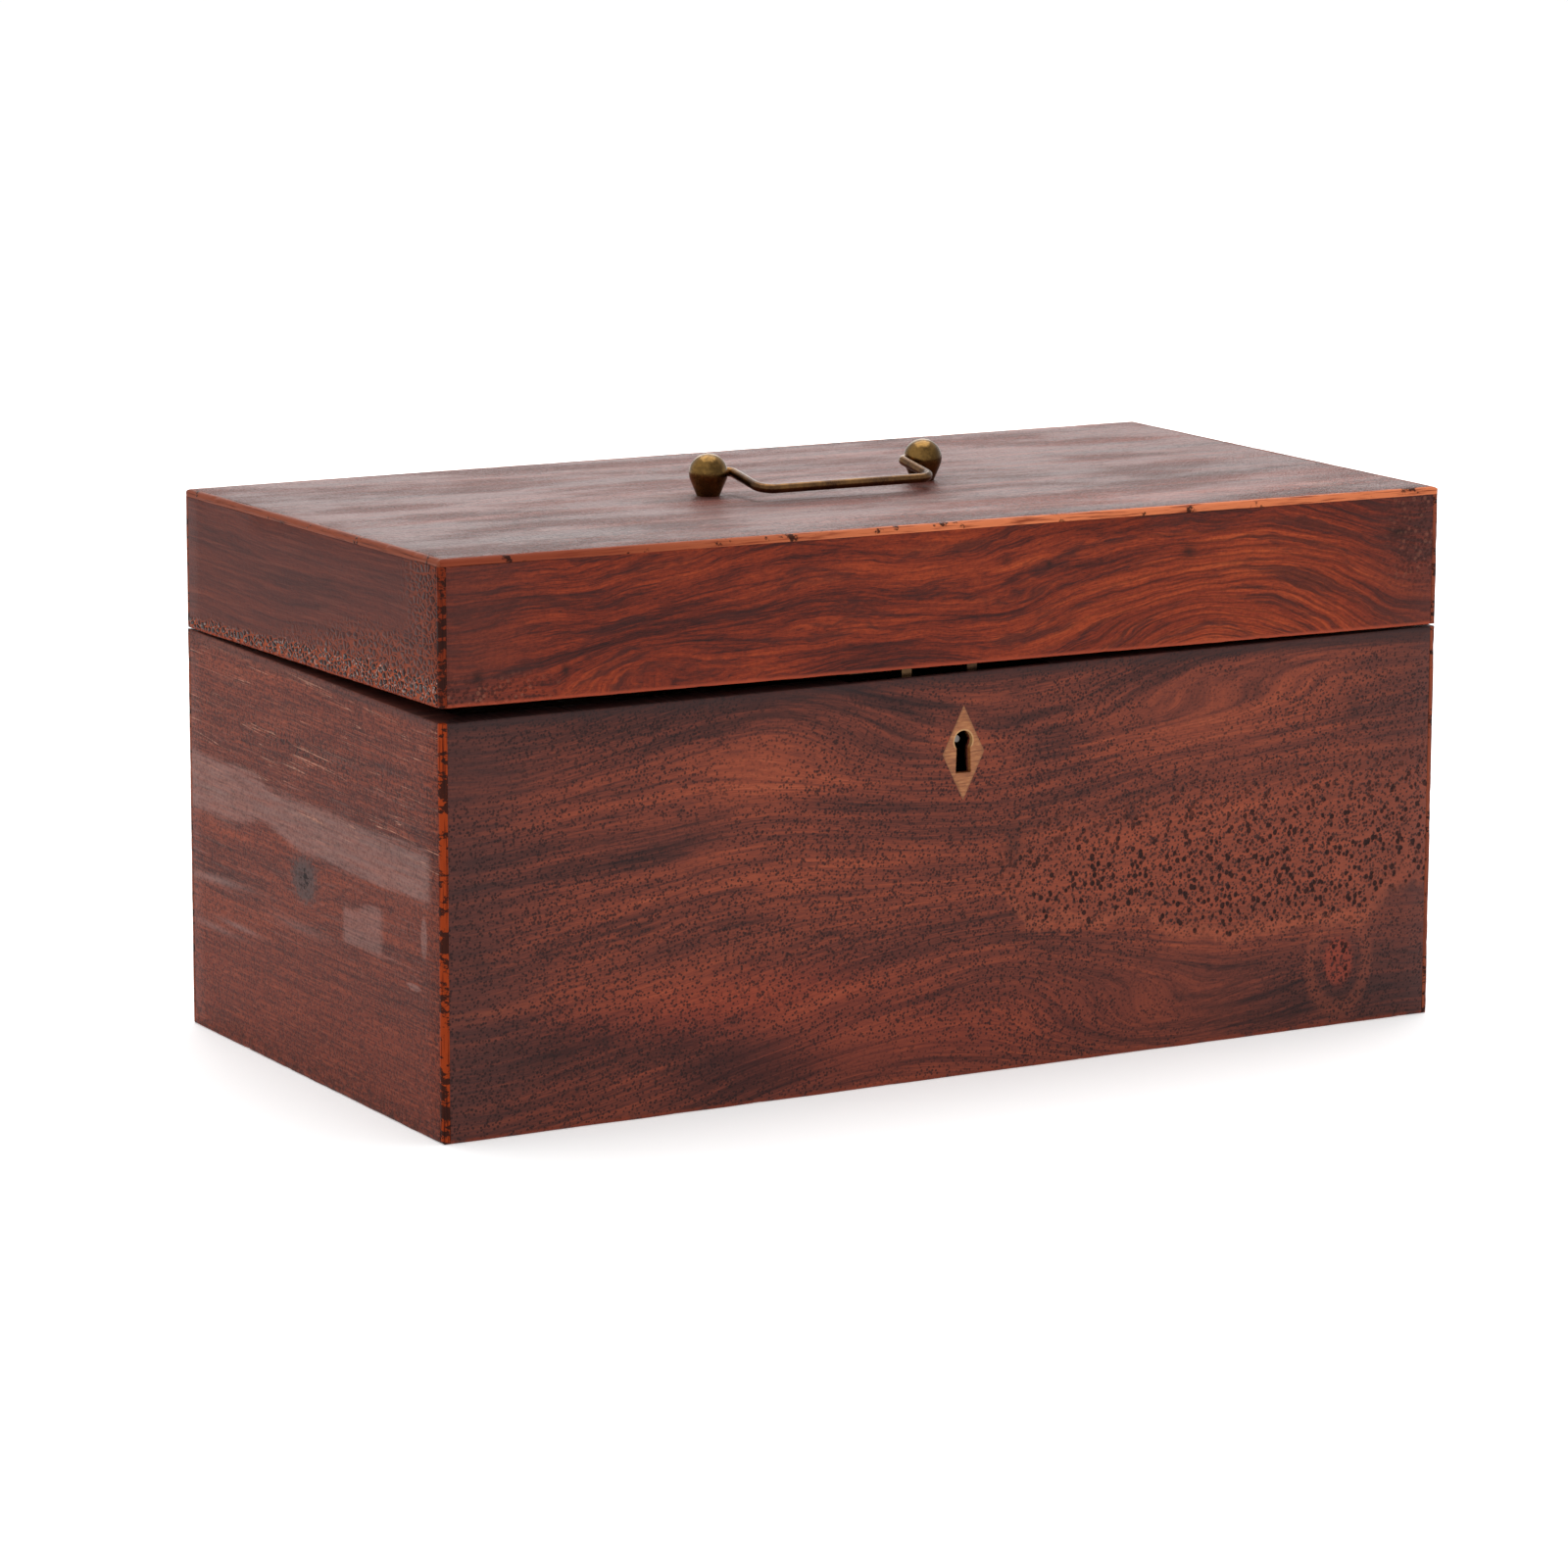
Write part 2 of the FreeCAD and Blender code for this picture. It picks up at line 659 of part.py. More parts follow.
def make_inner_lid(name, side):
    """A lift-out lid: a board that rests on the ledges, with a plug that keeps it in place."""
    near, far = "(partition_x + inner_lid_gap)", f"({INNER_X} - inner_lid_gap)"
    plug_near = "(partition_x + partition_thick/2 + ledge_width + inner_lid_gap)"
    plug_far = f"({INNER_X} - ledge_width - inner_lid_gap)"
    half_y, plug_y = f"({INNER_Y} - inner_lid_gap)", f"({INNER_Y} - ledge_width - inner_lid_gap)"
    spans = [(near, far), (plug_near, plug_far)]
    if side < 0:
        spans = [(f"-{high}", f"-{low}") for low, high in spans]
    middle = f"{side}*({near} + {far})/2"
    board = new_body(f"inner_lid_{name}_board")
    outline = rect(*spans[0], f"-{half_y}", half_y)
    top = pad(board, "XY_Plane", "inner_lid_z", outline, "inner_lid_thick")
    doc.recompute()
    upper = number("inner_lid_z + inner_lid_thick")
    edges = [
        f"Edge{i}"
        for i, edge in enumerate(top.Shape.Edges, start=1)
        if all(abs(vertex.Z - upper) < 0.01 for vertex in edge.Vertexes)
    ]
    rounding = board.newObject("PartDesign::Fillet", "RoundedEdge")
    rounding.Base = (top, edges)
    rounding.setExpression("Radius", bound("inner_lid_round"))
    outline = rect(*spans[1], f"-{plug_y}", plug_y)
    pad(board, "XY_Plane", "inner_lid_z - inner_lid_plug", outline, "inner_lid_plug")
    dowel_z = "inner_lid_z + inner_lid_thick"
    drill(board, "XY_Plane", dowel_z, [(middle, "0")], "knob_dowel_radius", "knob_dowel_length")
    knob = new_body(f"inner_lid_{name}_knob")
    turned(knob, knob_profile())
    place(knob, middle, "0", dowel_z)


def knob_profile():
    """A turned knob: dowel, foot, waisted neck and domed head."""
    dome_radius = "(knob_radius^2 + knob_dome^2)/(2*knob_dome)"
    return [
        ("0", "-knob_dowel_length"),
        ("knob_dowel_radius", "-knob_dowel_length"),
        ("knob_dowel_radius", "0"),
        ("knob_foot_radius", "0"),
        ("knob_foot_radius", "knob_foot_height"),
        ("knob_neck_radius", "knob_neck_low"),
        ("knob_neck_radius", "knob_neck_high"),
        ("knob_radius", "knob_head_low"),
        ("knob_radius", "knob_height - knob_dome", dome_radius),
        ("0", "knob_height"),
    ]


def make_bowl():
    """A blown glass bowl with a flanged rim that hangs on the shelf and a small foot."""
    bowl = new_body("mixing_bowl")
    neck = "(bowl_hole_radius - bowl_gap)"
    shoulder = "(bowl_height - bowl_neck_drop)"
    profile = [
        ("0", "0"),
        ("bowl_foot_radius", "0"),
        ("bowl_foot_radius", "bowl_foot_height"),
        ("bowl_foot_radius - bowl_foot_step", "bowl_floor", "bowl_curve"),
        (neck, shoulder),
        (neck, "bowl_height - bowl_rim_thick"),
        ("bowl_rim_radius", "bowl_height - bowl_rim_thick"),
        ("bowl_rim_radius", "bowl_height"),
        (f"{neck} - bowl_wall", "bowl_height"),
        (f"{neck} - bowl_wall", shoulder, "-(bowl_curve - bowl_wall)"),
        ("bowl_foot_radius - bowl_floor_step", "bowl_floor + bowl_wall"),
        ("0", "bowl_floor"),
    ]
    turned(bowl, profile)
    place(bowl, "0", "0", "inner_lid_z + bowl_rim_thick - bowl_height")


def make_interior():
    make_partitions()
    for name, side in SIDES.items():
        ledge_z = ("inner_lid_z - ledge_height", "inner_lid_z")
        strips(f"lid_ledges_{name}", compartment(side), ledge_z)
        make_tea_foil(name, side)
        make_inner_lid(name, side)
    make_bowl_shelf()
    make_bowl()


# ---- lock ------------------------------------------------------------------------------------


def make_lock():
    half_plate, half_case = "plate_width/2", "case_width/2"
    back_plate = new_body("lock_back_plate")
    bracket = [
        (PLATE_FACE, "body_height - plate_drop"),
        (PLATE_FACE, "body_height"),
        (f"{PLATE_FACE} - selvedge_depth", "body_height"),
        (f"{PLATE_FACE} - selvedge_depth", SELVEDGE_Z),
        (PLATE_BACK, SELVEDGE_Z),
        (PLATE_BACK, "body_height - plate_drop"),
    ]
    pad(back_plate, "YZ_Plane", f"lock_x - {half_plate}", bracket, "plate_width")
    front, half = "link_y - link_depth/2 - link_front_gap", "(link_width/2 + link_side_gap)"
    for step in (-1, 1):
        middle = f"link_x + {step}*link_spacing/2"
        slot = rect(f"{middle} - {half}", f"{middle} + {half}", front, PLATE_BACK)
        pocket(back_plate, "XY_Plane", "body_height + overrun", slot, "selvedge_thick + 2*overrun")
    start, length = f"-({PLATE_BACK} - overrun)", "plate_thick + 2*overrun"
    drill(back_plate, "XZ_Plane", start, [("key_x", "key_z")], "drill_pin_radius", length)
    countersinks(back_plate, lock_screw_spots(), FACING_IN)

    case = new_body("lock_case")
    sides = (f"lock_x - {half_case}", f"lock_x + {half_case}")
    foot = "body_height - case_drop"
    pad(case, "XZ_Plane", f"-{PLATE_BACK}", rect(*sides, foot, SELVEDGE_Z), "case_depth")
    inner_sides = (f"{sides[0]} + case_skin", f"{sides[1]} - case_skin")
    inside = rect(*inner_sides, f"{foot} + case_skin", f"{SELVEDGE_Z} + overrun")
    skin_back = f"-({PLATE_BACK} - case_depth + case_skin)"
    pocket(case, "XZ_Plane", skin_back, inside, "case_depth + overrun")
    keyhole(case, f"-({PLATE_BACK} - case_depth - overrun)", "case_skin + 1.5*overrun")

    pin = doc.addObject("Part::Cylinder", "DrillPin")
    pin.setExpression("Radius", bound("drill_pin_radius"))
    pin.setExpression("Height", bound("case_depth - case_skin - drill_pin_gap + plate_thick"))
    pin.Placement = Placement(Vector(0, 0, 0), Rotation(Vector(1, 0, 0), 90))
    place(pin, "key_x", PLATE_FACE, "key_z")
    named(pin, "lock_drill_pin")
    group("lock_screws", [screw(spot, FACING_IN) for spot in lock_screw_spots()])
    make_bolt()
    make_lock_spring()


EYE_Z = "(body_height + link_plate_lift - link_drop + link_sole)"
BAR_TOP = "(body_height - bar_drop)"
BAR_FOOT = "(body_height - bar_drop - bar_height)"


def make_bolt():
    """A bar with two upright arms, each hooked over into a finger that shoots through a link."""
    bolt = new_body("lock_bolt")
    finger_low = f"({EYE_Z} + (link_eye_height - finger_height)/2)"
    finger_high = f"({finger_low} + finger_height)"
    tips = [f"(link_x + {step}*link_spacing/2 - link_width/2 - finger_gap)" for step in (-1, 1)]
    roots = [f"({tip} - bolt_throw + finger_past_eye)" for tip in tips]
    bar_end = "lock_x + case_width/2 - bar_end_inset"
    outline = [
        (f"{roots[0]} - bolt_arm", BAR_FOOT),
        ("key_x - notch_width/2", BAR_FOOT),
        ("key_x - notch_width/2", f"{BAR_FOOT} + notch_height"),
        ("key_x + notch_width/2", f"{BAR_FOOT} + notch_height"),
        ("key_x + notch_width/2", BAR_FOOT),
        (bar_end, BAR_FOOT),
        (bar_end, BAR_TOP),
    ]
    for tip, root in reversed(list(zip(tips, roots))):
        outline += [(root, BAR_TOP), (root, finger_low), (tip, finger_low), (tip, finger_high)]
        outline += [(f"{root} - bolt_arm", finger_high)]
        if tip != tips[0]:
            outline += [(f"{root} - bolt_arm", BAR_TOP)]
    pad(bolt, "XZ_Plane", "-(link_y + bolt_thick/2)", outline, "bolt_thick")


def make_lock_spring():
    """A bent steel strip from the case's end wall that bears up under the bolt."""
    spring = new_body("lock_spring")
    wall_x = "(lock_x + case_width/2 - case_skin)"
    crest = f"({BAR_FOOT} - spring_gap)"
    outline = [
        (wall_x, f"{crest} - spring_fall - spring_root_thick"),
        (wall_x, f"{crest} - spring_fall"),
        (f"{wall_x} - spring_bend", crest),
        (f"{wall_x} - spring_length", crest),
        (f"{wall_x} - spring_length", f"{crest} - spring_thick"),
        (f"{wall_x} - spring_under_bend", f"{crest} - spring_thick"),
    ]
    pad(spring, "XZ_Plane", "-(link_y + spring_width/2)", outline, "spring_width")


# ---- hinges ----------------------------------------------------------------------------------


def make_leaf(label, side, z_low, spans, hole, head_z, turn):
    """A butt hinge's leaf: a plate, a tongue to each of its knuckles and the knuckles."""
    middle = f"{side}*hinge_x"
    leaf = new_body(label)
    inner_edge = f"{LEAF_EDGE} - leaf_width"
    whole = rect(f"{middle} - hinge_length/2", f"{middle} + hinge_length/2", inner_edge, LEAF_EDGE)
    pad(leaf, "XY_Plane", z_low, whole, "leaf_thick")
    for low, high in spans:
        ends = (f"{middle} + {low}", f"{middle} + {high}")
        pad(leaf, "XY_Plane", z_low, rect(*ends, LEAF_EDGE, PIN_Y), "leaf_thick")
        sketch = sketch_on(leaf, "YZ_Plane", ends[0])
        add_circle(sketch, PIN_Y, PIN_Z, "knuckle_radius")
        feature(leaf, "Pad", sketch, f"({high}) - ({low})")
    drill(leaf, "YZ_Plane", f"{middle} + hinge_length", [(PIN_Y, PIN_Z)], hole, "2*hinge_length")
    countersinks(leaf, hinge_screw_spots(side, head_z), turn)


def make_hinges():
    """Each body leaf has the two outer knuckles and each lid leaf the middle one."""
    joint = "(hinge_length/6)"
    outer = [
        ("-hinge_length/2", f"-{joint} - knuckle_gap/2"),
        (f"{joint} + knuckle_gap/2", "hinge_length/2"),
    ]
    inner = [(f"-{joint} + knuckle_gap/2", f"{joint} - knuckle_gap/2")]
    lid_low = "(body_height + leaf_gap)"
    for name, side in SIDES.items():
        tight, loose = "pin_radius", "pin_radius + pin_clearance"
        label = f"hinge_body_leaf_{name}"
        make_leaf(label, side, BODY_LEAF_LOW, outer, tight, "body_height", FACING_UP)
        make_leaf(f"hinge_lid_leaf_{name}", side, lid_low, inner, loose, lid_low, FACING_DOWN)
        pin = doc.addObject("Part::Cylinder", "HingePin")
        pin.setExpression("Radius", bound("pin_radius"))
        pin.setExpression("Height", bound("hinge_length"))
        pin.Placement = Placement(Vector(0, 0, 0), Rotation(Vector(0, 1, 0), 90))
        place(pin, f"{side}*hinge_x - hinge_length/2", PIN_Y, PIN_Z)
        named(pin, f"hinge_pin_{name}")
    for label, height, turn in (
        ("hinge_body_screws", "body_height", FACING_UP),
        ("hinge_lid_screws", lid_low, FACING_DOWN),
    ):
        spots = [spot for side in SIDES.values() for spot in hinge_screw_spots(side, height)]
        group(label, [screw(spot, turn) for spot in spots])


# ---- lid -------------------------------------------------------------------------------------


def lid_wall_section(sign, inner, string, outer):
    """A wall with a rabbet at its top: the top board lies on the inner part and a string on the
    outer one."""
    points = [
        (outer, "rim", "0"),
        (inner, "rim", "0"),
        (inner, "top", "-top_thick"),
        (string, "top", "-top_thick"),
        (string, "top", "-string_width"),
        (outer, "top", "-string_width"),
    ]
    return [(f"{sign}*{across}", level, above) for across, level, above in points]


def string_section(sign, string, outer):
    """A square string with its outer top edge rounded."""
    return [
        (f"{sign}*{outer}", "top", "-string_width"),
        (f"{sign}*{string}", "top", "-string_width"),
        (f"{sign}*{string}", "top", "0"),
        (f"{sign}*({outer} - string_round)", "top", "0", "string_round"),
        (f"{sign}*{outer}", "top", "-string_round"),
    ]


def make_lid_walls():
    for name, sign in (("front", -1), ("back", 1), ("left", -1), ("right", 1)):
        board = new_body(f"lid_{name}_board")
        if name in SIDES:
            section = lid_wall_section(sign, INNER_X, STRING_X, OUTER_X)
            warped(board, "y", (f"-{PAST_Y}", PAST_Y), section)
        else:
            section = lid_wall_section(sign, INNER_Y, STRING_Y, OUTER_Y)
            warped(board, "x", (f"-{PAST_X}", PAST_X), section)
        keep(board, BOARDS[name])
        if name == "back":
            for side in SIDES.values():
                cut_hinge_seat(board, side, LID_LEAF_HIGH, -1)
        if name == "front":
            cut_link_seat(board)


def cut_link_seat(board):
    half_x, half_y = "(link_plate_length/2 + fit_gap)", "(link_plate_depth/2 + fit_gap)"
    seat = rect(f"link_x - {half_x}", f"link_x + {half_x}", f"link_y - {half_y}", f"link_y + {half_y}")
    seat_z = f"({LINK_PLATE_Z} + link_plate_thick)"
    pocket(board, "XY_Plane", seat_z, seat, "clear_cut")
    pilots = [(x, y) for x, y, z in link_screw_spots()]
    depth = "(screw_length - link_plate_thick)"
    drill(board, "XY_Plane", f"{seat_z} + {depth}", pilots, "pilot_radius", depth)


def make_lid_strings():
    trapezoids = {
        "front": [
            (f"-{OUTER_X}", f"-{OUTER_Y}"),
            (OUTER_X, f"-{OUTER_Y}"),
            (STRING_X, f"-{STRING_Y}"),
            (f"-{STRING_X}", f"-{STRING_Y}"),
        ],
        "left": [
            (f"-{OUTER_X}", f"-{OUTER_Y}"),
            (f"-{STRING_X}", f"-{STRING_Y}"),
            (f"-{STRING_X}", STRING_Y),
            (f"-{OUTER_X}", OUTER_Y),
        ],
    }
    for name, sign, outline in (
        ("front", -1, plan(trapezoids["front"])),
        ("back", 1, plan(trapezoids["front"], y_sign=-1)),
        ("left", -1, plan(trapezoids["left"])),
        ("right", 1, plan(trapezoids["left"], x_sign=-1)),
    ):
        string = new_body(f"lid_top_string_{name}")
        if name in SIDES:
            warped(string, "y", (f"-{PAST_Y}", PAST_Y), string_section(sign, STRING_X, OUTER_X))
        else:
            warped(string, "x", (f"-{PAST_X}", PAST_X), string_section(sign, STRING_Y, OUTER_Y))
        keep(string, outline)
    for name, (x, y) in CORNERS.items():
        string = new_body(f"lid_corner_string_{name}")
        section = [
            (f"{y}*{STRING_Y}", "rim", "0"),
            (f"{y}*{OUTER_Y}", "rim", "0"),
            (f"{y}*{OUTER_Y}", "top", "-string_width"),
            (f"{y}*{STRING_Y}", "top", "-string_width"),
        ]
        warped(string, "x", (f"{x}*{STRING_X}", f"{x}*{OUTER_X}"), section)
        keep(string, plan(CORNER_STRING, -x, -y))


def post_spots():
    return [(f"handle_x + {side}*post_spacing/2", "handle_y") for side in SIDES.values()]


def make_lid_top():
    board = new_body("lid_top_board")
    section = [
        (f"-{STRING_Y}", "top", "-top_thick"),
        (STRING_Y, "top", "-top_thick"),
        (STRING_Y, "top", "0"),
        (f"-{STRING_Y}", "top", "0"),
    ]
    warped(board, "x", (f"-{STRING_X}", STRING_X), section)
    start = "body_height + lid_height + clear_cut"
    drill(board, "XY_Plane", start, post_spots(), "shank_radius", "3*clear_cut")


def make_link_plate():
    """A plate under the lid's front rim with two eyes that drop through the lock's selvedge."""
    plate = new_body("lock_link_plate")
    half_x, half_y = "link_plate_length/2", "link_plate_depth/2"
    x, y = (f"link_x - {half_x}", f"link_x + {half_x}"), (f"link_y - {half_y}", f"link_y + {half_y}")
    pad(plate, "XY_Plane", LINK_PLATE_Z, rect(*x, *y), "link_plate_thick")
    for step in (-1, 1):
        start = f"link_x + {step}*link_spacing/2 - link_width/2"
        sides = ("link_y - link_depth/2", "link_y + link_depth/2")
        drop = rect(*sides, f"{LINK_PLATE_Z} - link_drop", f"{LINK_PLATE_Z} + link_root")
        pad(plate, "YZ_Plane", start, drop, "link_width")
        sides = ("link_y - link_eye_width/2", "link_y + link_eye_width/2")
        eye = rect(*sides, EYE_Z, f"{EYE_Z} + link_eye_height")
        pocket(plate, "YZ_Plane", f"{start} + link_width + overrun", eye, "link_width + 2*overrun")
    countersinks(plate, link_screw_spots(), FACING_DOWN)
    group("link_plate_screws", [screw(spot, FACING_DOWN) for spot in link_screw_spots()])


# ---- swing handle ----------------------------------------------------------------------------


def top_at_posts():
    return [lid_z("top", x, y) for x, y in post_spots()]


def seat_on_lid(item, x, above):
    """Places a piece of the handle: its own X axis runs from post to post, down with the lid."""
    low, high = top_at_posts()
    fall = f"(({low}) - ({high}))/post_spacing"
    item.Placement = Placement(Vector(0, 0, 0), Rotation(Vector(0, 1, 0), 1))
    item.setExpression("Placement.Rotation.Angle", bound(f"atan({fall})"))
    middle_z = f"(({low}) + ({high}))/2"
    spot_x = f"handle_x + ({x}) + ({above})*({fall})"
    place(item, spot_x, "handle_y", f"{middle_z} + ({above}) - ({x})*({fall})")


def make_posts():
    """A turned ball on a tapered foot, with a threaded shank through the lid and a nut below."""
    foot_to_ball = "sqrt(post_foot_radius^2 + ball_height^2)"
    flank = f"(180deg - atan(ball_height/post_foot_radius) - asin(ball_radius/{foot_to_ball}))"
    tangent = "sqrt(post_foot_radius^2 + ball_height^2 - ball_radius^2)"
    rise, spread = f"{tangent}*sin({flank})", f"{tangent}*cos({flank})"
    cone_top = (f"post_foot_radius + {spread}", rise, "ball_radius")
    shank_foot = "-(top_thick + nut_thick + shank_past_nut)"
    profile = [
        ("0", shank_foot),
        ("shank_radius", shank_foot),
        ("shank_radius", "0"),
        ("post_foot_radius", "0"),
        cone_top,
        ("0", "ball_height + ball_radius"),
    ]
    nuts = []
    for name, side in SIDES.items():
        post = new_body(f"handle_post_{name}")
        turned(post, profile)
        depth = "ball_radius + overrun"
        start = depth if side < 0 else "0"
        drill(post, "YZ_Plane", start, [("0", "ball_height")], "bail_bore_radius", depth)
        seat_on_lid(post, f"{side}*post_spacing/2", "0")
        half = "nut_width/2"
        blank = solid_box("NutBlank", (f"-{half}", half), (f"-{half}", half), ("0", "nut_thick"))
        hole = doc.addObject("Part::Cylinder", "NutHole")
        hole.setExpression("Radius", bound("shank_radius"))
        hole.setExpression("Height", bound("nut_thick"))
        nut = doc.addObject("Part::Cut", "Nut")
        nut.Base, nut.Tool = blank, hole
        seat_on_lid(nut, f"{side}*post_spacing/2", "-(top_thick + nut_thick + nut_gap)")
        nuts.append(nut)
    group("handle_nuts", nuts)


def make_bail():
    """A round rod bent into a shallow U, its ends turned outwards into the posts' bores."""
    bail = new_body("bail_handle")
    start = "(post_spacing/2 - bail_stub_end)"
    stub, corner = "bail_stub_bend", "bail_corner_bend"
    spine = sketch_on(bail, "XY_Plane")
    spine.AttachmentOffset = Placement(Vector(0, 0, 0), Rotation(Vector(1, 0, 0), 1))
    spine.setExpression("AttachmentOffset.Rotation.Angle", bound("bail_rest_angle"))
    path = [
        (f"-{start}", "0"),
        (f"-(bail_arm_x + {stub})", "0", f"-{stub}"),
        ("-bail_arm_x", f"-{stub}"),
        ("-bail_arm_x", f"-(bail_reach - {corner})", corner),
        (f"-(bail_arm_x - {corner})", "-bail_reach"),
        (f"bail_arm_x - {corner}", "-bail_reach", corner),
        ("bail_arm_x", f"-(bail_reach - {corner})"),
        ("bail_arm_x", f"-{stub}", f"-{stub}"),
        (f"bail_arm_x + {stub}", "0"),
        (start, "0"),
    ]
    add_path(spine, path, closed=False)
    section = sketch_on(bail, "YZ_Plane", f"-{start}")
    add_circle(section, "0", "0", "bail_radius")
    rod = body_pipe(bail, section, spine, len(path) - 1)
    rod.Label = "BentRod"
    seat_on_lid(bail, "0", "ball_height")


def body_pipe(body, section, spine, count):
    pipe = body.newObject("PartDesign::AdditivePipe", "Pipe")
    pipe.Profile = section
    pipe.Spine = (spine, [f"Edge{i}" for i in range(1, count + 1)])
    return pipe


# ---- checks and files ------------------------------------------------------------------------


def check_document():
    """Stops if any object failed, any piece isn't sound or any cut removed nothing."""
    doc.recompute()
    for item in doc.Objects:
        if {"Invalid", "Error"} & set(item.State):
            raise RuntimeError(f"{item.Label}: {item.State}")
        cut = item.TypeId.split("::")[1]
        if cut == "Pocket" or cut.startswith("Subtractive"):
            if item.Shape.Volume > item.BaseFeature.Shape.Volume - 0.01:
                raise RuntimeError(f"{item.Label} in {item.BaseFeature.Label} cuts nothing")
    for piece in pieces:
        if piece.Shape.isNull() or not piece.Shape.isValid() or not piece.Shape.Solids:
            raise RuntimeError(f"{piece.Label}: shape isn't sound")


def write_pieces():
    os.makedirs("parts", exist_ok=True)
    for piece in pieces:
        piece.Shape.exportStep(f"parts/{piece.Label}.step")
        box = piece.Shape.BoundBox
        limits = ((box.XMin, box.XMax), (box.YMin, box.YMax), (box.ZMin, box.ZMax))
        spans = " ".join(f"{low:.2f}..{high:.2f}" for low, high in limits)
        solids, volume = len(piece.Shape.Solids), piece.Shape.Volume
        print(f"{piece.Label:30s} solids {solids} volume {volume:10.1f}  {spans}")


fill_sheet()
make_case()
make_escutcheon()
make_interior()
make_lock()
make_hinges()
make_lid_walls()
make_lid_top()
make_lid_strings()
make_link_plate()
make_posts()
make_bail()
check_document()
write_pieces()
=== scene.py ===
import json
import math

import bmesh
import bpy
from mathutils import Matrix, Vector, noise


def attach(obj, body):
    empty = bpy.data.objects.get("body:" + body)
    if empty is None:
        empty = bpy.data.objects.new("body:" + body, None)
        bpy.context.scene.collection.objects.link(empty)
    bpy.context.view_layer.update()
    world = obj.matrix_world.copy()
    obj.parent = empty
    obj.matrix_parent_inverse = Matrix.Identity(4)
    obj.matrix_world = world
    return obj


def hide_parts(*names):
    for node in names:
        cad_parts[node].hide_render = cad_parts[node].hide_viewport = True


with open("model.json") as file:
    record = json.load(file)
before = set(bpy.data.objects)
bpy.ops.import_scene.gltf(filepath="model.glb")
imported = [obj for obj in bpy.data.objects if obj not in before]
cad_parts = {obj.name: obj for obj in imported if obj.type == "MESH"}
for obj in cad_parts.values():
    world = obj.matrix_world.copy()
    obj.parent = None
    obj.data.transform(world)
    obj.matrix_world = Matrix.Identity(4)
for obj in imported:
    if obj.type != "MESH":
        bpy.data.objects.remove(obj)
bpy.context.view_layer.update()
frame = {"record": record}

MM = 0.001

# ---- the caddy's outer faces, in millimetres -------------------------------------------------

HALF_X, HALF_Y = 152.5, 77.5
BODY_TOP = 109.0
LID_TOP = 147.0
STRING = 2.0
# How far the warped lid's corners stand above the plain box: front left, front right, back
# left, back right.
RIM_RISE = (3.9, 0.6, 1.4, 0.3)
TOP_RISE = (3.9, 0.6, 1.4, -0.2)


def bilinear(rise, x, y):
    across, along = x / (2 * HALF_X) + 0.5, y / (2 * HALF_Y) + 0.5
    front = rise[0] + (rise[1] - rise[0]) * across
    back = rise[2] + (rise[3] - rise[2]) * across
    return front + (back - front) * along


def rim_z(x, y):
    return BODY_TOP + bilinear(RIM_RISE, x, y)


def top_z(x, y):
    return LID_TOP + bilinear(TOP_RISE, x, y)


# ---- worn boards and strings -----------------------------------------------------------------


def wander(x, y, z, size, seed):
    """Smooth noise, about -1 to 1, with features of the given size in millimetres."""
    return noise.noise(Vector((x / size + seed * 7.3, y / size - seed * 3.1, z / size + seed)))


def rounded(a, b, radius):
    """Moves a point that lies outside the arc in the corner between two faces onto the arc.
    a and b are its distances inside the two faces."""
    if a >= radius or b >= radius:
        return a, b
    da, db = radius - a, radius - b
    reach = math.hypot(da, db)
    if reach <= radius:
        return a, b
    return radius - da * radius / reach, radius - db * radius / reach


# How near a face or a seam a point counts as lying on it, and the same for a sloping seam.
NEAR, NEAR_SLOPE = 0.02, 0.05
# The body has swollen up to the lid at its back left corner: by how much, over what length,
# and from what height.
CORNER_LIFT, LIFT_SPAN, LIFT_START = 1.1, 20.0, 60.0


def corner_lift(x, y):
    near = min(1, max(0, 1 - (x + HALF_X) / LIFT_SPAN))
    return CORNER_LIFT * near * (y / (2 * HALF_Y) + 0.5)


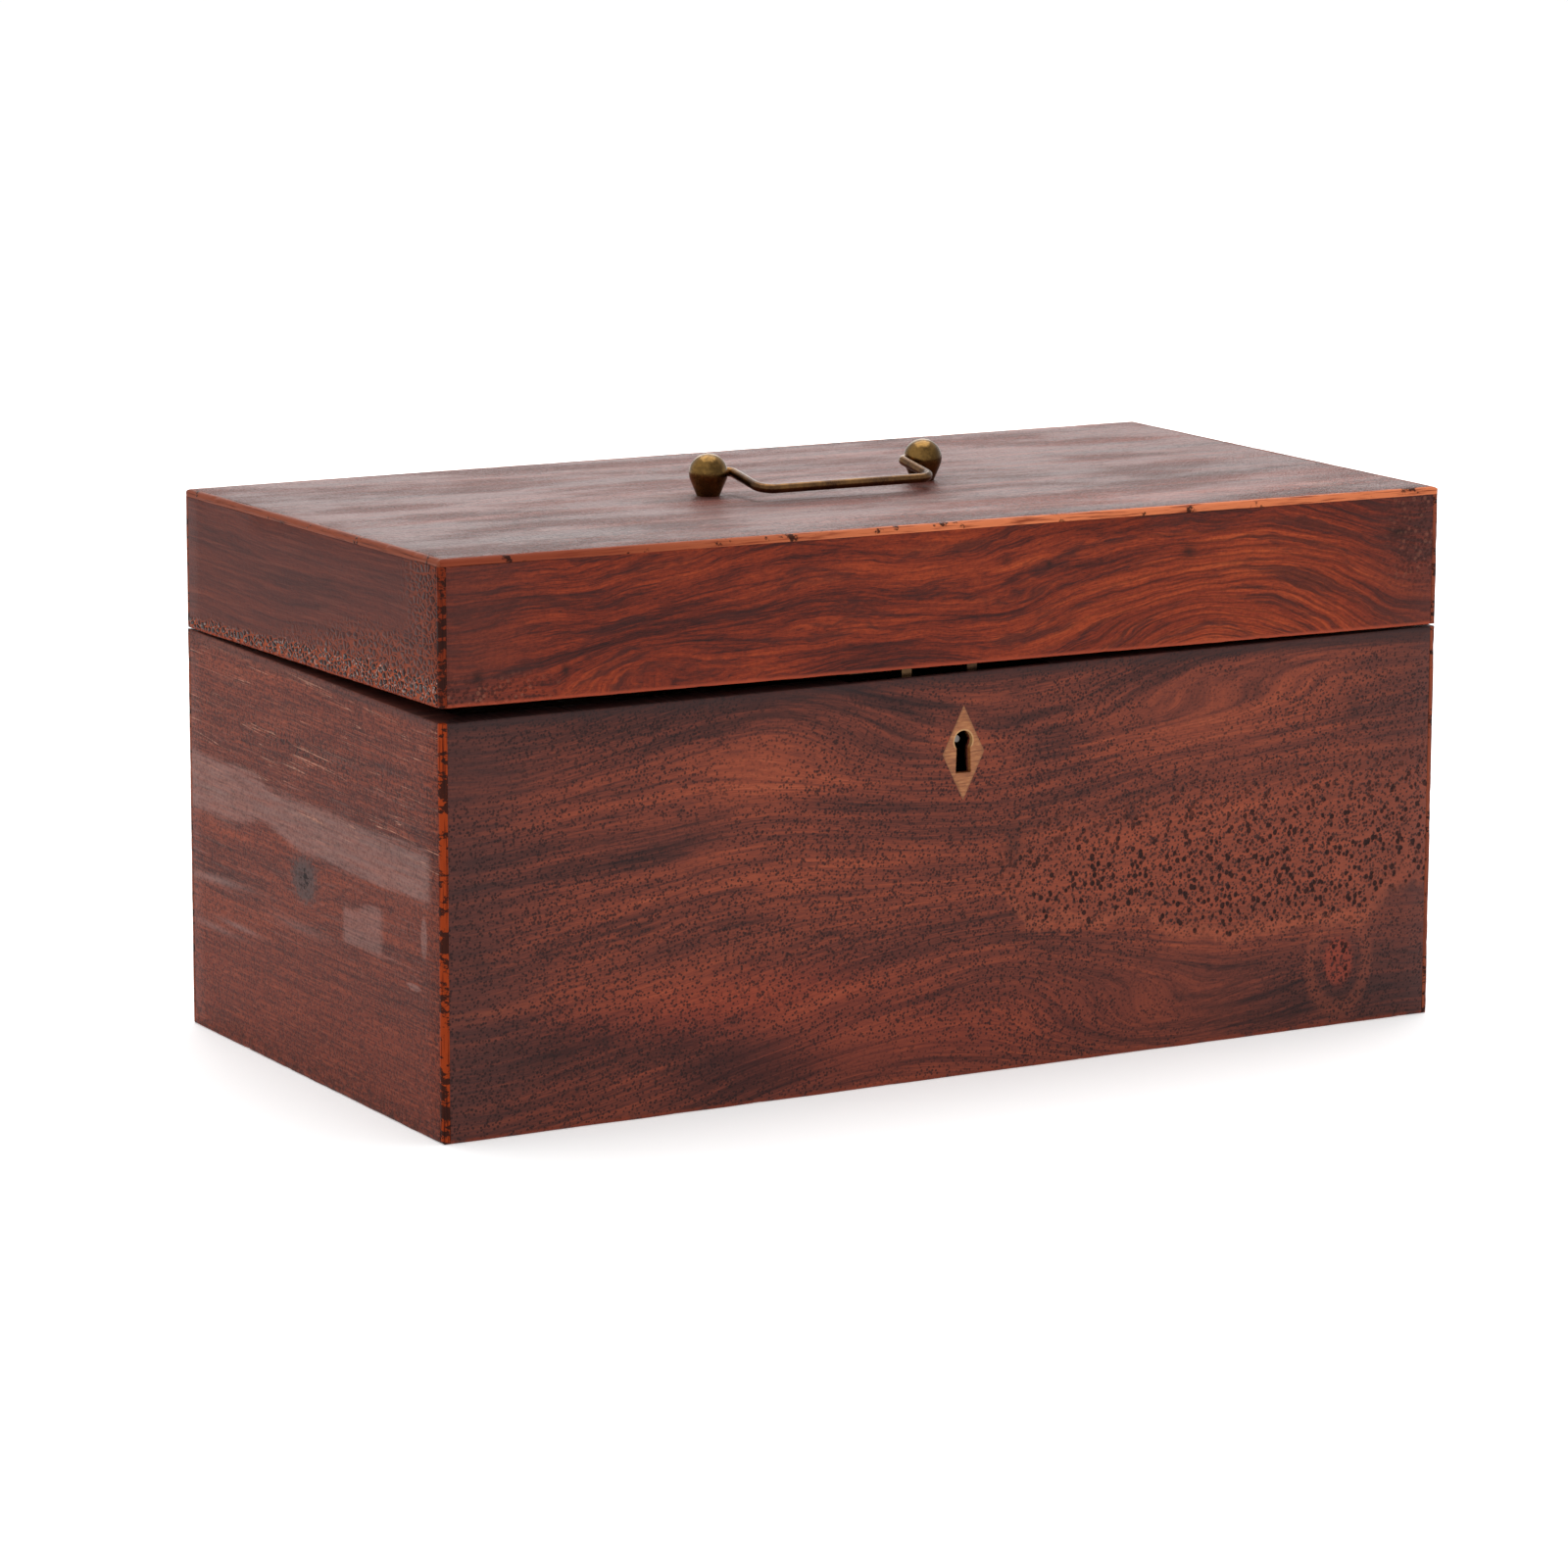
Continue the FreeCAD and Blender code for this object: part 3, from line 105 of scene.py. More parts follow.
def worn_point(p, lid):
    """The place of a point of the plain box after wear: rounded arrises with small chips,
    faces that are not quite flat, and a fine groove where a string meets a board."""
    x, y, z = p
    sx, sy = (1 if x > 0 else -1), (1 if y > 0 else -1)
    dx, dy = HALF_X - abs(x), HALF_Y - abs(y)
    foot = rim_z(x, y) if lid else 0.0
    head = top_z(x, y) if lid else BODY_TOP
    low, high = z - foot, head - z
    outer_x, outer_y, outer_top = dx < NEAR, dy < NEAR, lid and high < NEAR

    corner = 1.6 + 0.25 * wander(x, y, z, 9, 1) + 0.4 * max(0, wander(x, y, z, 2.5, 2))
    dx, dy = rounded(dx, dy, corner)
    nick = max(0, wander(x, y, z, 3.2, 3) - 0.35)
    if lid:
        edge = 1.6 + 0.3 * wander(x, y, z, 11, 4) + 1.1 * nick
        foot_edge = 0.55 + 0.3 * wander(x, y, z, 8, 5) + 2.2 * max(0, wander(x, y, z, 4, 6) - 0.4)
    else:
        edge = 0.4 + 0.15 * wander(x, y, z, 7, 7)
        foot_edge = 0.9 + 0.4 * wander(x, y, z, 10, 8) + 2.0 * max(0, wander(x, y, z, 4, 9) - 0.4)
    dx, high = rounded(dx, high, edge)
    dy, high = rounded(dy, high, edge)
    dx, low_x = rounded(dx, low, foot_edge)
    dy, low_y = rounded(dy, low, foot_edge)
    low = max(low_x, low_y)

    seam_x = abs(abs(x) - (HALF_X - STRING)) < NEAR
    seam_y = abs(abs(y) - (HALF_Y - STRING)) < NEAR
    seam_z = lid and abs(head - z - STRING) < NEAR_SLOPE
    groove = 0.16 + 0.06 * wander(x, y, z, 6, 10)
    hollow = 0.05 + 0.045 * wander(x, y, z, 38, 11)
    if outer_y:
        dy += hollow + (groove if seam_x or seam_z else 0)
    if outer_x:
        dx += hollow + (groove if seam_y or seam_z else 0)
    if outer_top:
        high += hollow + (groove if seam_x or seam_y else 0)

    new_z = z
    if abs((head - z) - high) > 1e-6:
        new_z = head - high
    if abs((z - foot) - low) > 1e-6:
        new_z = foot + low
    if not lid:
        new_z += corner_lift(x, y) * max(0, z - LIFT_START) / (BODY_TOP - LIFT_START)
    return Vector((sx * (HALF_X - dx), sy * (HALF_Y - dy), new_z))


def with_edges(faces):
    edges = {e for f in faces for e in f.edges}
    verts = {v for f in faces for v in f.verts}
    return [*verts, *edges, *faces]


def cut(bm, part, where, across):
    """Cuts part of the mesh with a plane through a point, and gives that part as it is now."""
    return bmesh.ops.bisect_plane(
        bm, geom=part, dist=1e-5, plane_co=where, plane_no=across
    )["geom"]


# How far in from an arris lie the rows of points that round it, and those beside a seam.
ROWS = (0.3, 0.7, 1.2, 1.7)
SEAM_ROW = STRING + 0.35
# The spacing of points over a face, and along an arris.
FACE_GRID, ARRIS_GRID = 7.5, 1.25
SHARP = math.radians(40)
UNITS = (Vector((1, 0, 0)), Vector((0, 1, 0)), Vector((0, 0, 1)))


def slice_evenly(bm, part, lo, hi, axis, spacing):
    """Cuts part of the mesh into equal lengths along an axis."""
    span = hi[axis] - lo[axis]
    count = int(span / spacing)
    for i in range(1, count):
        part = cut(bm, part, UNITS[axis] * (lo[axis] + span * i / count), UNITS[axis])
    return part


def slice_near_sides(bm, part, lo, hi):
    """Cuts rows beside the box's four upright faces."""
    for axis, half in enumerate((HALF_X, HALF_Y)):
        for side in (-1, 1):
            for inset in (*ROWS, SEAM_ROW):
                place = side * (half - inset)
                if lo[axis] < place < hi[axis]:
                    part = cut(bm, part, UNITS[axis] * place, UNITS[axis])
    return part


def slice_near_ends(bm, part, lid):
    """Cuts rows above the foot and below the head of the body, or of the warped lid."""
    if not lid:
        for inset in ROWS:
            part = cut(bm, part, Vector((0, 0, inset)), UNITS[2])
        for inset in ROWS[:2]:
            part = cut(bm, part, Vector((0, 0, BODY_TOP - inset)), UNITS[2])
        return part
    for height, rise, up, rows in (
        (BODY_TOP, RIM_RISE, 1, ROWS), (LID_TOP, TOP_RISE, -1, (*ROWS, SEAM_ROW))
    ):
        middle = height + bilinear(rise, 0, 0)
        slope_x = (bilinear(rise, HALF_X, 0) - bilinear(rise, -HALF_X, 0)) / (2 * HALF_X)
        slope_y = (bilinear(rise, 0, HALF_Y) - bilinear(rise, 0, -HALF_Y)) / (2 * HALF_Y)
        across = Vector((-slope_x, -slope_y, 1)).normalized()
        for inset in rows:
            part = cut(bm, part, Vector((0, 0, middle + up * inset)), across)
    return part


def arris_depth(c, lid):
    """How far a point on the surface is from the nearest long arris."""
    dx, dy = HALF_X - abs(c.x), HALF_Y - abs(c.y)
    low = c.z - (rim_z(c.x, c.y) if lid else 0)
    high = (top_z(c.x, c.y) if lid else BODY_TOP) - c.z
    return sorted((dx, dy, low, high))[1]


def worn_piece(node, lid, run):
    """A finer copy of a board or string, worn. run is the axis that it is long in."""
    mesh = bpy.data.objects[node].data.copy()
    if "custom_normal" in mesh.attributes:
        mesh.attributes.remove(mesh.attributes["custom_normal"])
    bm = bmesh.new()
    bm.from_mesh(mesh)
    bmesh.ops.scale(bm, vec=(1 / MM,) * 3, verts=bm.verts)
    bmesh.ops.remove_doubles(bm, verts=bm.verts, dist=0.002)
    lo = [min(v.co[i] for v in bm.verts) for i in range(3)]
    hi = [max(v.co[i] for v in bm.verts) for i in range(3)]

    part = slice_near_sides(bm, with_edges(bm.faces), lo, hi)
    part = slice_near_ends(bm, part, lid)
    for axis in range(3):
        part = slice_evenly(bm, part, lo, hi, axis, FACE_GRID)
    band = with_edges([
        f for f in bm.faces if arris_depth(f.calc_center_median(), lid) < ROWS[-1]
    ])
    slice_evenly(bm, band, lo, hi, run, ARRIS_GRID)
    for v in bm.verts:
        v.co = worn_point(v.co, lid)
    bmesh.ops.scale(bm, vec=(MM,) * 3, verts=bm.verts)
    bm.normal_update()
    bm.to_mesh(mesh)
    bm.free()
    mesh.shade_smooth()
    mesh.set_sharp_from_angle(angle=SHARP)
    mesh.materials.clear()
    return add_piece(node + "_worn", mesh, "lid" if lid else "carcass", node)


def add_piece(name, mesh, body, node):
    piece = bpy.data.objects.new(name, mesh)
    bpy.context.scene.collection.objects.link(piece)
    mesh.name = name
    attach(piece, body)
    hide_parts(node)
    return piece


# ---- materials -------------------------------------------------------------------------------


def tint(red, green, blue):
    """A colour given in ordinary display values, 0 to 255."""
    def linear(value):
        value /= 255
        return value / 12.92 if value <= 0.04045 else ((value + 0.055) / 1.055) ** 2.4

    return (linear(red), linear(green), linear(blue), 1.0)


class Value:
    """A number that varies over the surface, so that sums can be written as sums."""

    def __init__(self, shader, socket):
        self.shader, self.socket = shader, socket

    def _do(self, kind, *others):
        return self.shader.math(kind, self, *others)

    def __add__(self, other):
        return self._do("ADD", other)

    def __sub__(self, other):
        return self._do("SUBTRACT", other)

    def __mul__(self, other):
        return self._do("MULTIPLY", other)

    def __truediv__(self, other):
        return self._do("DIVIDE", other)

    def __rsub__(self, other):
        return self.shader.math("SUBTRACT", other, self)

    __radd__, __rmul__ = __add__, __mul__

    def __neg__(self):
        return self * -1

    def abs(self):
        return self._do("ABSOLUTE")

    def squared(self):
        return self._do("MULTIPLY", self)

    def power(self, exponent):
        return self._do("POWER", exponent)

    def above(self, start, end):
        """0 below start, 1 above end, smooth between. Works backwards too."""
        return self.shader.step(self, start, end)


class Shader:
    """A node material for one kind of surface. x, y and z are millimetres."""

    def __init__(self, name):
        self.material = bpy.data.materials.new(name)
        self.material.use_nodes = True
        self.tree = self.material.node_tree
        self.tree.nodes.clear()
        out = self.add("ShaderNodeOutputMaterial")
        self.bsdf = self.add("ShaderNodeBsdfPrincipled")
        self.tree.links.new(self.bsdf.outputs[0], out.inputs[0])
        place = self.add("ShaderNodeTexCoord")
        split = self.add("ShaderNodeSeparateXYZ")
        self.tree.links.new(place.outputs["Object"], split.inputs[0])
        self.x, self.y, self.z = (Value(self, split.outputs[i]) * 1000 for i in range(3))

    def add(self, kind, **settings):
        node = self.tree.nodes.new(kind)
        for key, value in settings.items():
            setattr(node, key, value)
        return node

    def put(self, socket, value):
        if isinstance(value, Value):
            self.tree.links.new(value.socket, socket)
        elif isinstance(value, bpy.types.NodeSocket):
            self.tree.links.new(value, socket)
        else:
            socket.default_value = value

    def math(self, kind, *values):
        node = self.add("ShaderNodeMath", operation=kind)
        for socket, value in zip(node.inputs, values):
            self.put(socket, value)
        return Value(self, node.outputs[0])

    def step(self, value, start, end):
        node = self.add("ShaderNodeMapRange", interpolation_type="SMOOTHSTEP")
        flip = start > end
        low, high = (end, start) if flip else (start, end)
        for name, item in (("Value", value), ("From Min", low), ("From Max", high)):
            self.put(node.inputs[name], item)
        node.inputs["To Min"].default_value = 1.0 if flip else 0.0
        node.inputs["To Max"].default_value = 0.0 if flip else 1.0
        return Value(self, node.outputs[0])

    def least(self, *values):
        result = values[0]
        for value in values[1:]:
            result = self.math("MINIMUM", result, value)
        return result

    def most(self, *values):
        result = values[0]
        for value in values[1:]:
            result = self.math("MAXIMUM", result, value)
        return result

    def vector(self, x, y, z):
        node = self.add("ShaderNodeCombineXYZ")
        for socket, value in zip(node.inputs, (x, y, z)):
            self.put(socket, value)
        return node.outputs[0]

    def noise(self, x, y, z, detail=2.0, rough=0.5):
        node = self.add("ShaderNodeTexNoise")
        self.put(node.inputs["Vector"], self.vector(x, y, z))
        node.inputs["Scale"].default_value = 1.0
        node.inputs["Detail"].default_value = detail
        node.inputs["Roughness"].default_value = rough
        return Value(self, node.outputs[0])

    def cells(self, x, y, z, feature="F1"):
        """The distance to the middle of a cell, or to its edge."""
        node = self.add("ShaderNodeTexVoronoi", feature=feature)
        self.put(node.inputs["Vector"], self.vector(x, y, z))
        node.inputs["Scale"].default_value = 1.0
        return Value(self, node.outputs["Distance"])

    def blob(self, u, v, at_u, at_v, size_u, size_v):
        """1 at a spot, falling smoothly to nearly 0 at about twice its size."""
        spread = ((u - at_u) / size_u).squared() + ((v - at_v) / size_v).squared()
        return self.math("EXPONENT", -spread)

    def mix(self, amount, first, second):
        node = self.add("ShaderNodeMix", data_type="RGBA")
        self.put(node.inputs[0], amount)
        self.put(node.inputs[6], first)
        self.put(node.inputs[7], second)
        return node.outputs[2]

    def cover(self, colour, *coats):
        """Lays coats over a colour in turn. Each has how much of it shows, and its colour."""
        for amount, coat in coats:
            colour = self.mix(amount, colour, coat)
        return colour

    def ramp(self, value, *stops):
        node = self.add("ShaderNodeValToRGB")
        self.put(node.inputs[0], value)
        line = node.color_ramp.elements
        while len(line) < len(stops):
            line.new(0.5)
        for point, (place, colour) in zip(line, stops):
            point.position, point.color = place, colour
        return node.outputs[0]

    def finish(self, colour, rough, height=None, depth=0.1, specular=0.5, **constants):
        """Joins the tree's ends. height is in units of depth, which is in millimetres."""
        self.put(self.bsdf.inputs["Base Color"], colour)
        self.put(self.bsdf.inputs["Roughness"], rough)
        self.bsdf.inputs["Specular IOR Level"].default_value = specular
        for name, value in constants.items():
            self.bsdf.inputs[name.replace("_", " ")].default_value = value
        if height is not None:
            bump = self.add("ShaderNodeBump")
            bump.inputs["Distance"].default_value = depth * MM
            bump.inputs["Strength"].default_value = 1.0
            self.put(bump.inputs["Height"], height)
            self.tree.links.new(bump.outputs[0], self.bsdf.inputs["Normal"])
        return self.material


# Rosewood tones, from the darkest streak to the brightest heart.
BLACKISH = tint(44, 30, 30)
DARK = tint(76, 42, 37)
BODY_TONES = ((0.02, BLACKISH), (0.28, DARK), (0.5, tint(108, 54, 43)),
              (0.72, tint(136, 66, 47)), (0.98, tint(162, 84, 58)))
LID_TONES = ((0.02, tint(40, 26, 26)), (0.28, tint(78, 34, 28)), (0.5, tint(118, 46, 30)),
             (0.72, tint(146, 60, 34)), (0.98, tint(172, 80, 44)))
GREY = tint(112, 84, 80)


def patches(s, u, v, *places):
    """The sum of soft patches. Each place has its middle, its two half widths and how strong
    it is."""
    return sum(s.blob(u, v, *place) * strength for *place, strength in places)


def marks(s, u, v, *places):
    """The strongest of soft marks, given in the same way."""
    return s.most(*(s.blob(u, v, *place) * strength for *place, strength in places))


# Each is 1 on one outer face of the box only, so that wear stays off the rims and the inside.


def on_left(s):
    return s.x.above(2.5 - HALF_X, 0.7 - HALF_X)


def on_front(s):
    return s.y.above(2.0 - HALF_Y, 0.5 - HALF_Y)


def on_top(s):
    return s.z.above(LID_TOP - 2.4, LID_TOP - 0.8)


def streaks(s, run, flow, deep, seed):
    """The wood's figure along lines of equal flow: broad bands, streaks, fine lines and
    fibre, each 0 to 1."""
    broad = s.noise(run * 0.004 + seed, flow * 0.06, deep * 0.02, 2.0)
    streak = s.noise(run * 0.011 - seed, flow * 0.26, deep * 0.03 + seed, 3.0, 0.65)
    fine = s.noise(run * 0.03, flow * 1.1 + seed, deep * 0.1, 4.0, 0.7)
    fibre = s.noise(run * 0.2, flow * 2.6, deep * 2.0 + seed, 3.0, 0.7)
    line = s.noise(run * 0.007 + 3 * seed, flow * 0.2, deep * 0.02, 1.5)
    lines = (line - 0.5).abs().above(0.035, 0.0)
    line = s.noise(run * 0.008 - 5 * seed, flow * 0.42, deep * 0.02, 1.5)
    lines = s.most(lines, (line - 0.52).abs().above(0.025, 0.0) * 0.8)
    return broad, streak, fine, fibre, lines


def wood(s, run, across, deep, flow, seed, light=0.0, contrast=1.0, tones=BODY_TONES, short=1.0):
    """Colour and height of old polished rosewood; short makes the streaks shorter."""
    broad, streak, fine, fibre, lines = streaks(s, run * short, flow, deep, seed)
    tone = (broad - 0.5) * (1.1 * contrast) + (streak - 0.5) * (1.3 * contrast)
    tone = tone + (fine - 0.5) * (0.5 + 0.4 * contrast) + (fibre - 0.5) * 0.5 + (0.5 + light)
    tone = tone - lines * (0.24 * contrast)
    hole = s.noise(run * 0.4, across * 2.6, deep * 2.6, 2.0, 0.6).above(0.56, 0.68)
    tone = tone - hole * 0.12
    colour = s.ramp(tone, *tones)
    height = (fine - 0.5) * 0.4 + (fibre - 0.5) * 0.3 - hole * 0.5 + (streak - 0.5) * 0.3
    return colour, height


def dots(s, u, v, size, fill, seed=0.0):
    """Round pits of varied size, scattered at about the given spacing: 1 inside a pit."""
    reach = (s.noise(u * 0.4 / size, v * 0.4 / size, seed + 3, 1.0) + 0.5) * (fill * 0.5)
    return (s.cells(u / size + seed, v / size, seed) - reach).above(0.07, -0.07)


def stipple(s, u, v, size, seed=0.0):
    """Shellac that has shrunk into fine beads, with hollows between: 0 in a hollow."""
    return s.cells(u / size + seed, v / size, seed, "DISTANCE_TO_EDGE")


def front_figure(s, x, z):
    """The front's lines of equal flow, and the warm and dark patches that they run through."""
    wave = (s.noise(x * 0.012, z * 0.02, 1.7, 2.0) - 0.5) * 10
    pinch = s.math("EXPONENT", -((x - 12) / 50).squared())
    flow = z + wave - x.above(-152, -30) * 15 + s.math("TANH", (z - 48) / 12) * 14 * pinch
    flow = flow + patches(
        s, x, z, (85, 90, 60, 9, 11), (-34, 86, 50, 11, 8), (55, 7, 50, 11, 12),
        (-45, -2, 40, 16, -8),
    )
    light = patches(
        s, x, z, (-58, 82, 24, 12, 0.22), (-42, 60, 36, 4, 0.24), (-110, 55, 44, 6, 0.1),
        (-66, 28, 38, 6, 0.3), (-20, 14, 26, 7, 0.1), (22, 14, 16, 7, 0.2),
        (85, 86, 46, 6, 0.2), (60, 12, 12, 8, 0.14), (-112, 104, 44, 8, -0.14),
        (20, 104, 90, 4, -0.16), (-124, 22, 22, 12, -0.18), (30, 88, 9, 7, -0.22),
        (-20, 92, 12, 9, -0.14), (112, 12, 44, 14, -0.18), (-70, 44, 40, 4, -0.12),
    )
    return flow, light - s.blob(x + z, z, -56, 13, 22, 8) * 0.34 + 0.02


def front_run(s, x, z):
    """Where the polish has run and pitted: the patch with its ragged lower edge, its rim, the
    outlines of the drip below it and of a fainter run, and the middle of the drip."""
    ragged = (s.noise(x * 0.1, z * 0.06, 5.0, 4.0, 0.7) - 0.5) * 15
    lower = z + ragged + x.above(12, 26) * 10 + x.above(55, 75) * 8 - x.above(128, 140) * 6
    upper = (z + ragged * 1.4 - x * 0.07).above(76, 50)
    patch = lower.above(46.5, 50) * upper * x.above(-2, 26)
    rim = (lower - 48.5).abs().above(2.8, 0.8) * x.above(8, 20) * x.above(150, 120)
    drip = s.blob(x, z + ragged * 0.15, 122, 18, 10, 14)
    drip = s.most(drip, s.blob(x + ragged * 0.2, z, 124, 36, 5, 12) * 0.8)
    outline = (drip - 0.42).abs().above(0.2, 0.06)
    run = (s.blob(x, z, 133, 45, 13, 8) - 0.4).abs().above(0.16, 0.05)
    core = drip.above(0.72, 0.88) * z.above(40, 30)
    return patch, rim, outline, run, core


def front_pits(s, x, z, patch, outline, run, core):
    """Small, middling and large pits: they crowd the patch and thin out over the rest."""
    spread = s.noise(x * 0.02, z * 0.035, 9.0, 3.0, 0.6) + s.blob(x, z, 80, 60, 90, 22) * 0.25
    worn_left = s.blob(x, z, -70, 42, 90, 36)
    large = dots(s, x, z * 0.85, 2.0, 0.62, 2.0) * s.most(patch, core)
    thin = (spread + worn_left * 0.1).above(0.48, 0.66) * 0.8
    middle = dots(s, x, z * 0.9, 1.35, 0.6, 5.0) * s.most(patch, core, outline, run, thin)
    thin = (spread + worn_left * 0.22).above(0.38, 0.58) * 0.7 + 0.3
    small = dots(s, x, z, 0.95, 0.72, 8.0) * thin
    return small, middle, large


def front_wood():
    s = Shader("rosewood_front")
    x, z = s.x, s.z
    flow, light = front_figure(s, x, z)
    colour, height = wood(s, x, z, s.y, flow, 2.3, light, 0.6, BODY_TONES, 1.3)
    red = s.blob(x, z, -66, 28, 44, 8) + s.blob(x, z, -10, 12, 60, 10) * 0.6
    ends = s.most(x.above(-112, -152), x.above(112, 150) * 0.9)
    haze = s.noise(x * 0.03, z * 0.12, 4.0, 3.0, 0.6).above(0.45, 0.75)
    patch, rim, outline, run, core = front_run(s, x, z)
    small, middle, large = front_pits(s, x, z, patch, outline, run, core)
    spots = marks(
        s, x, z, (17, 61, 3, 5.5, 1), (14, 37, 6, 2.4, 0.7), (-96, 50, 5, 1.6, 1),
        (-84, 80, 1.2, 1.0, 1), (126, 88, 2.4, 3.5, 0.8), (54, 67, 1.6, 2.0, 1),
        (-106, 22, 3, 2.4, 0.8), (-68, 23, 2.0, 1.4, 0.7), (-142, 46, 3, 2, 0.8),
    )
    # The orange line along the lower arris is partly wear and partly a painted highlight from the
    # bright floor.
    arris = z.above(1.5, 0.4) * s.noise(x * 0.2, 2.0, 0.0, 2.0).above(0.36, 0.5)
    colour = s.cover(
        colour,
        (red * 0.3, tint(142, 52, 38)),
        (ends * 0.42 + haze * 0.12, tint(78, 52, 50)),
        (ends * 0.26, BLACKISH),
        (patch * 0.38, tint(150, 74, 52)),
        (rim * 0.45, tint(158, 82, 58)),
        (outline * 0.3, tint(146, 74, 54)),
        (run * 0.3, tint(146, 74, 54)),
        (core * 0.5, tint(156, 66, 48)),
        (small * 0.8, tint(42, 28, 28)),
        (middle * 0.7, tint(48, 32, 31)),
        (large * 0.92, tint(38, 24, 23)),
        (spots * 0.55, tint(44, 32, 32)),
        (z.above(104.5, 108.0) * 0.75, tint(48, 36, 36)),
        (arris * 0.7, tint(126, 54, 34)),
    )
    rough = 0.42 + small * 0.1 - patch * 0.06 + large * 0.3 + haze * 0.1
    height = height * 0.4 - small * 0.4 - middle * 0.9 - large * 2.6 + patch * 0.8 + rim * 0.5
    return s.finish(colour, rough, height + outline * 0.5, 0.12, 0.09)


def lid_front_wood():
    s = Shader("rosewood_lid_front")
    x, z = s.x, s.z - BODY_TOP
    wave = (s.noise(x * 0.016, z * 0.035, 6.1, 3.0) - 0.5) * 15
    flow = z + wave - x.above(-150, -30) * 9 - x.above(0, 70) * 8 + x.above(95, 150) * 14
    flow = flow - patches(s, x, z, (80, -6, 30, 22, 20), (-24, 2, 24, 7, 9), (-95, 12, 24, 8, 7))
    light = patches(
        s, x, z, (84, 10, 42, 20, 0.2), (-10, 29, 50, 7, 0.1), (-25, 6, 26, 5, -0.2),
        (-95, 20, 26, 6, -0.1),
    )
    colour, height = wood(s, x, z, s.y, flow, 5.2, light + 0.02, 0.62, LID_TONES, 1.8)
    warp = s.noise(x * 0.03, z * 0.06, 4.4, 3.0, 0.7) * 9
    veil = s.noise(x * 0.024, (flow + warp) * 0.2, 8.8, 4.0, 0.75)
    # Arched growth rings, darker lines over the bright crown of the figure.
    crown = s.blob(x, z, 84, 8, 52, 30).above(0.15, 0.6)
    rings = s.math("SINE", (flow + warp * 0.3) * 2.1).above(0.35, 0.95) * crown
    ends = s.most(x.above(-112, -150), x.above(118, 150))
    spots = marks(
        s, x, z, (71, 27, 2.2, 1.8, 1), (139, 27, 3.6, 1.3, 1), (-117, 11, 1.2, 1.6, 1),
        (14, 29, 1.8, 1.0, 0.7), (27, 27, 0.9, 0.9, 1), (-142, 11, 1.6, 1.6, 1),
    )
    crusted = s.most(
        x.above(-100, -136) * z.above(16, 6), x.above(125, 145) * z.above(2, 20) * 0.8, 0.25
    )
    small = dots(s, x, z * 1.1, 1.1, 0.9, 3.0) * crusted
    glint = dots(s, x, z, 2.1, 0.5, 6.0) * (crusted - 0.25)
    # The orange line along the lower arris is partly wear and partly a painted highlight from the
    # bright floor.
    arris = (s.z - rim_z(s.x, s.y)).above(1.3, 0.4) * on_front(s)
    colour = s.cover(
        colour,
        (veil.above(0.5, 0.64) * 0.66, tint(54, 32, 31)),
        (rings * 0.42, tint(66, 30, 22)),
        (ends * 0.55, tint(76, 46, 42)),
        (spots * 0.8, tint(40, 26, 24)),
        (small * 0.6, tint(44, 26, 24)),
        (glint * 0.4, tint(150, 96, 76)),
        (arris * 0.7, tint(158, 68, 44)),
    )
    rough = 0.36 + small * 0.15 + ends * 0.08
    return s.finish(colour, rough, height * 0.4 - small * 0.8, 0.12, 0.07)


def left_milk(s, y, z, lines):
    """Milky bands where the polish has been scuffed through to a haze."""
    brush = (s.noise(y * 0.04, z * 0.9, 2.0, 4.0, 0.7) - 0.5) * 12
    band_top = z + brush * 0.6 + y.above(35, 24) * 2.5
    sag = s.blob(y, z, 28, 62, 14, 30) * 4
    band = band_top.above(78.5, 75.5) * (z + brush * 0.5 - sag).above(59.5, 62.5)
    band = band * y.above(-73, -68) * (s.noise(y * 0.06, z * 0.9, 8.0, 4.0, 0.7) * 1.3 - 0.02)
    patch = s.least(y.above(-45, -40), y.above(-18, -21))
    patch = patch * (z + brush * 0.55 - y.above(-22, -40) * 3).above(52.5, 50.5)
    patch = patch * (z + brush * 0.4).above(41, 43)
    for rub in (s.blob(y, z, -67, 52, 2.2, 7), s.blob(y, z, -61, 38, 5, 1.2)):
        patch = s.most(patch, (rub + brush * 0.03).above(0.4, 0.7))
    wisps = s.noise(y * 0.03, z * 0.9, 7.0, 4.0, 0.7).above(0.54, 0.7)
    wisps = wisps * z.above(26, 40) * z.above(106, 84) * 0.36
    streak = s.blob(y, z + y * 0.06, 62, 47, 22, 1.2) + patches(
        s, y, z, (62, 30, 16, 1.0, 0.7), (8, 40.5, 16, 1.6, 0.5), (45, 33, 12, 0.8, 1)
    )
    milk = s.least(s.most(band, patch * (lines + 0.05), wisps, streak * 0.7), 1.0)
    return milk * on_left(s)


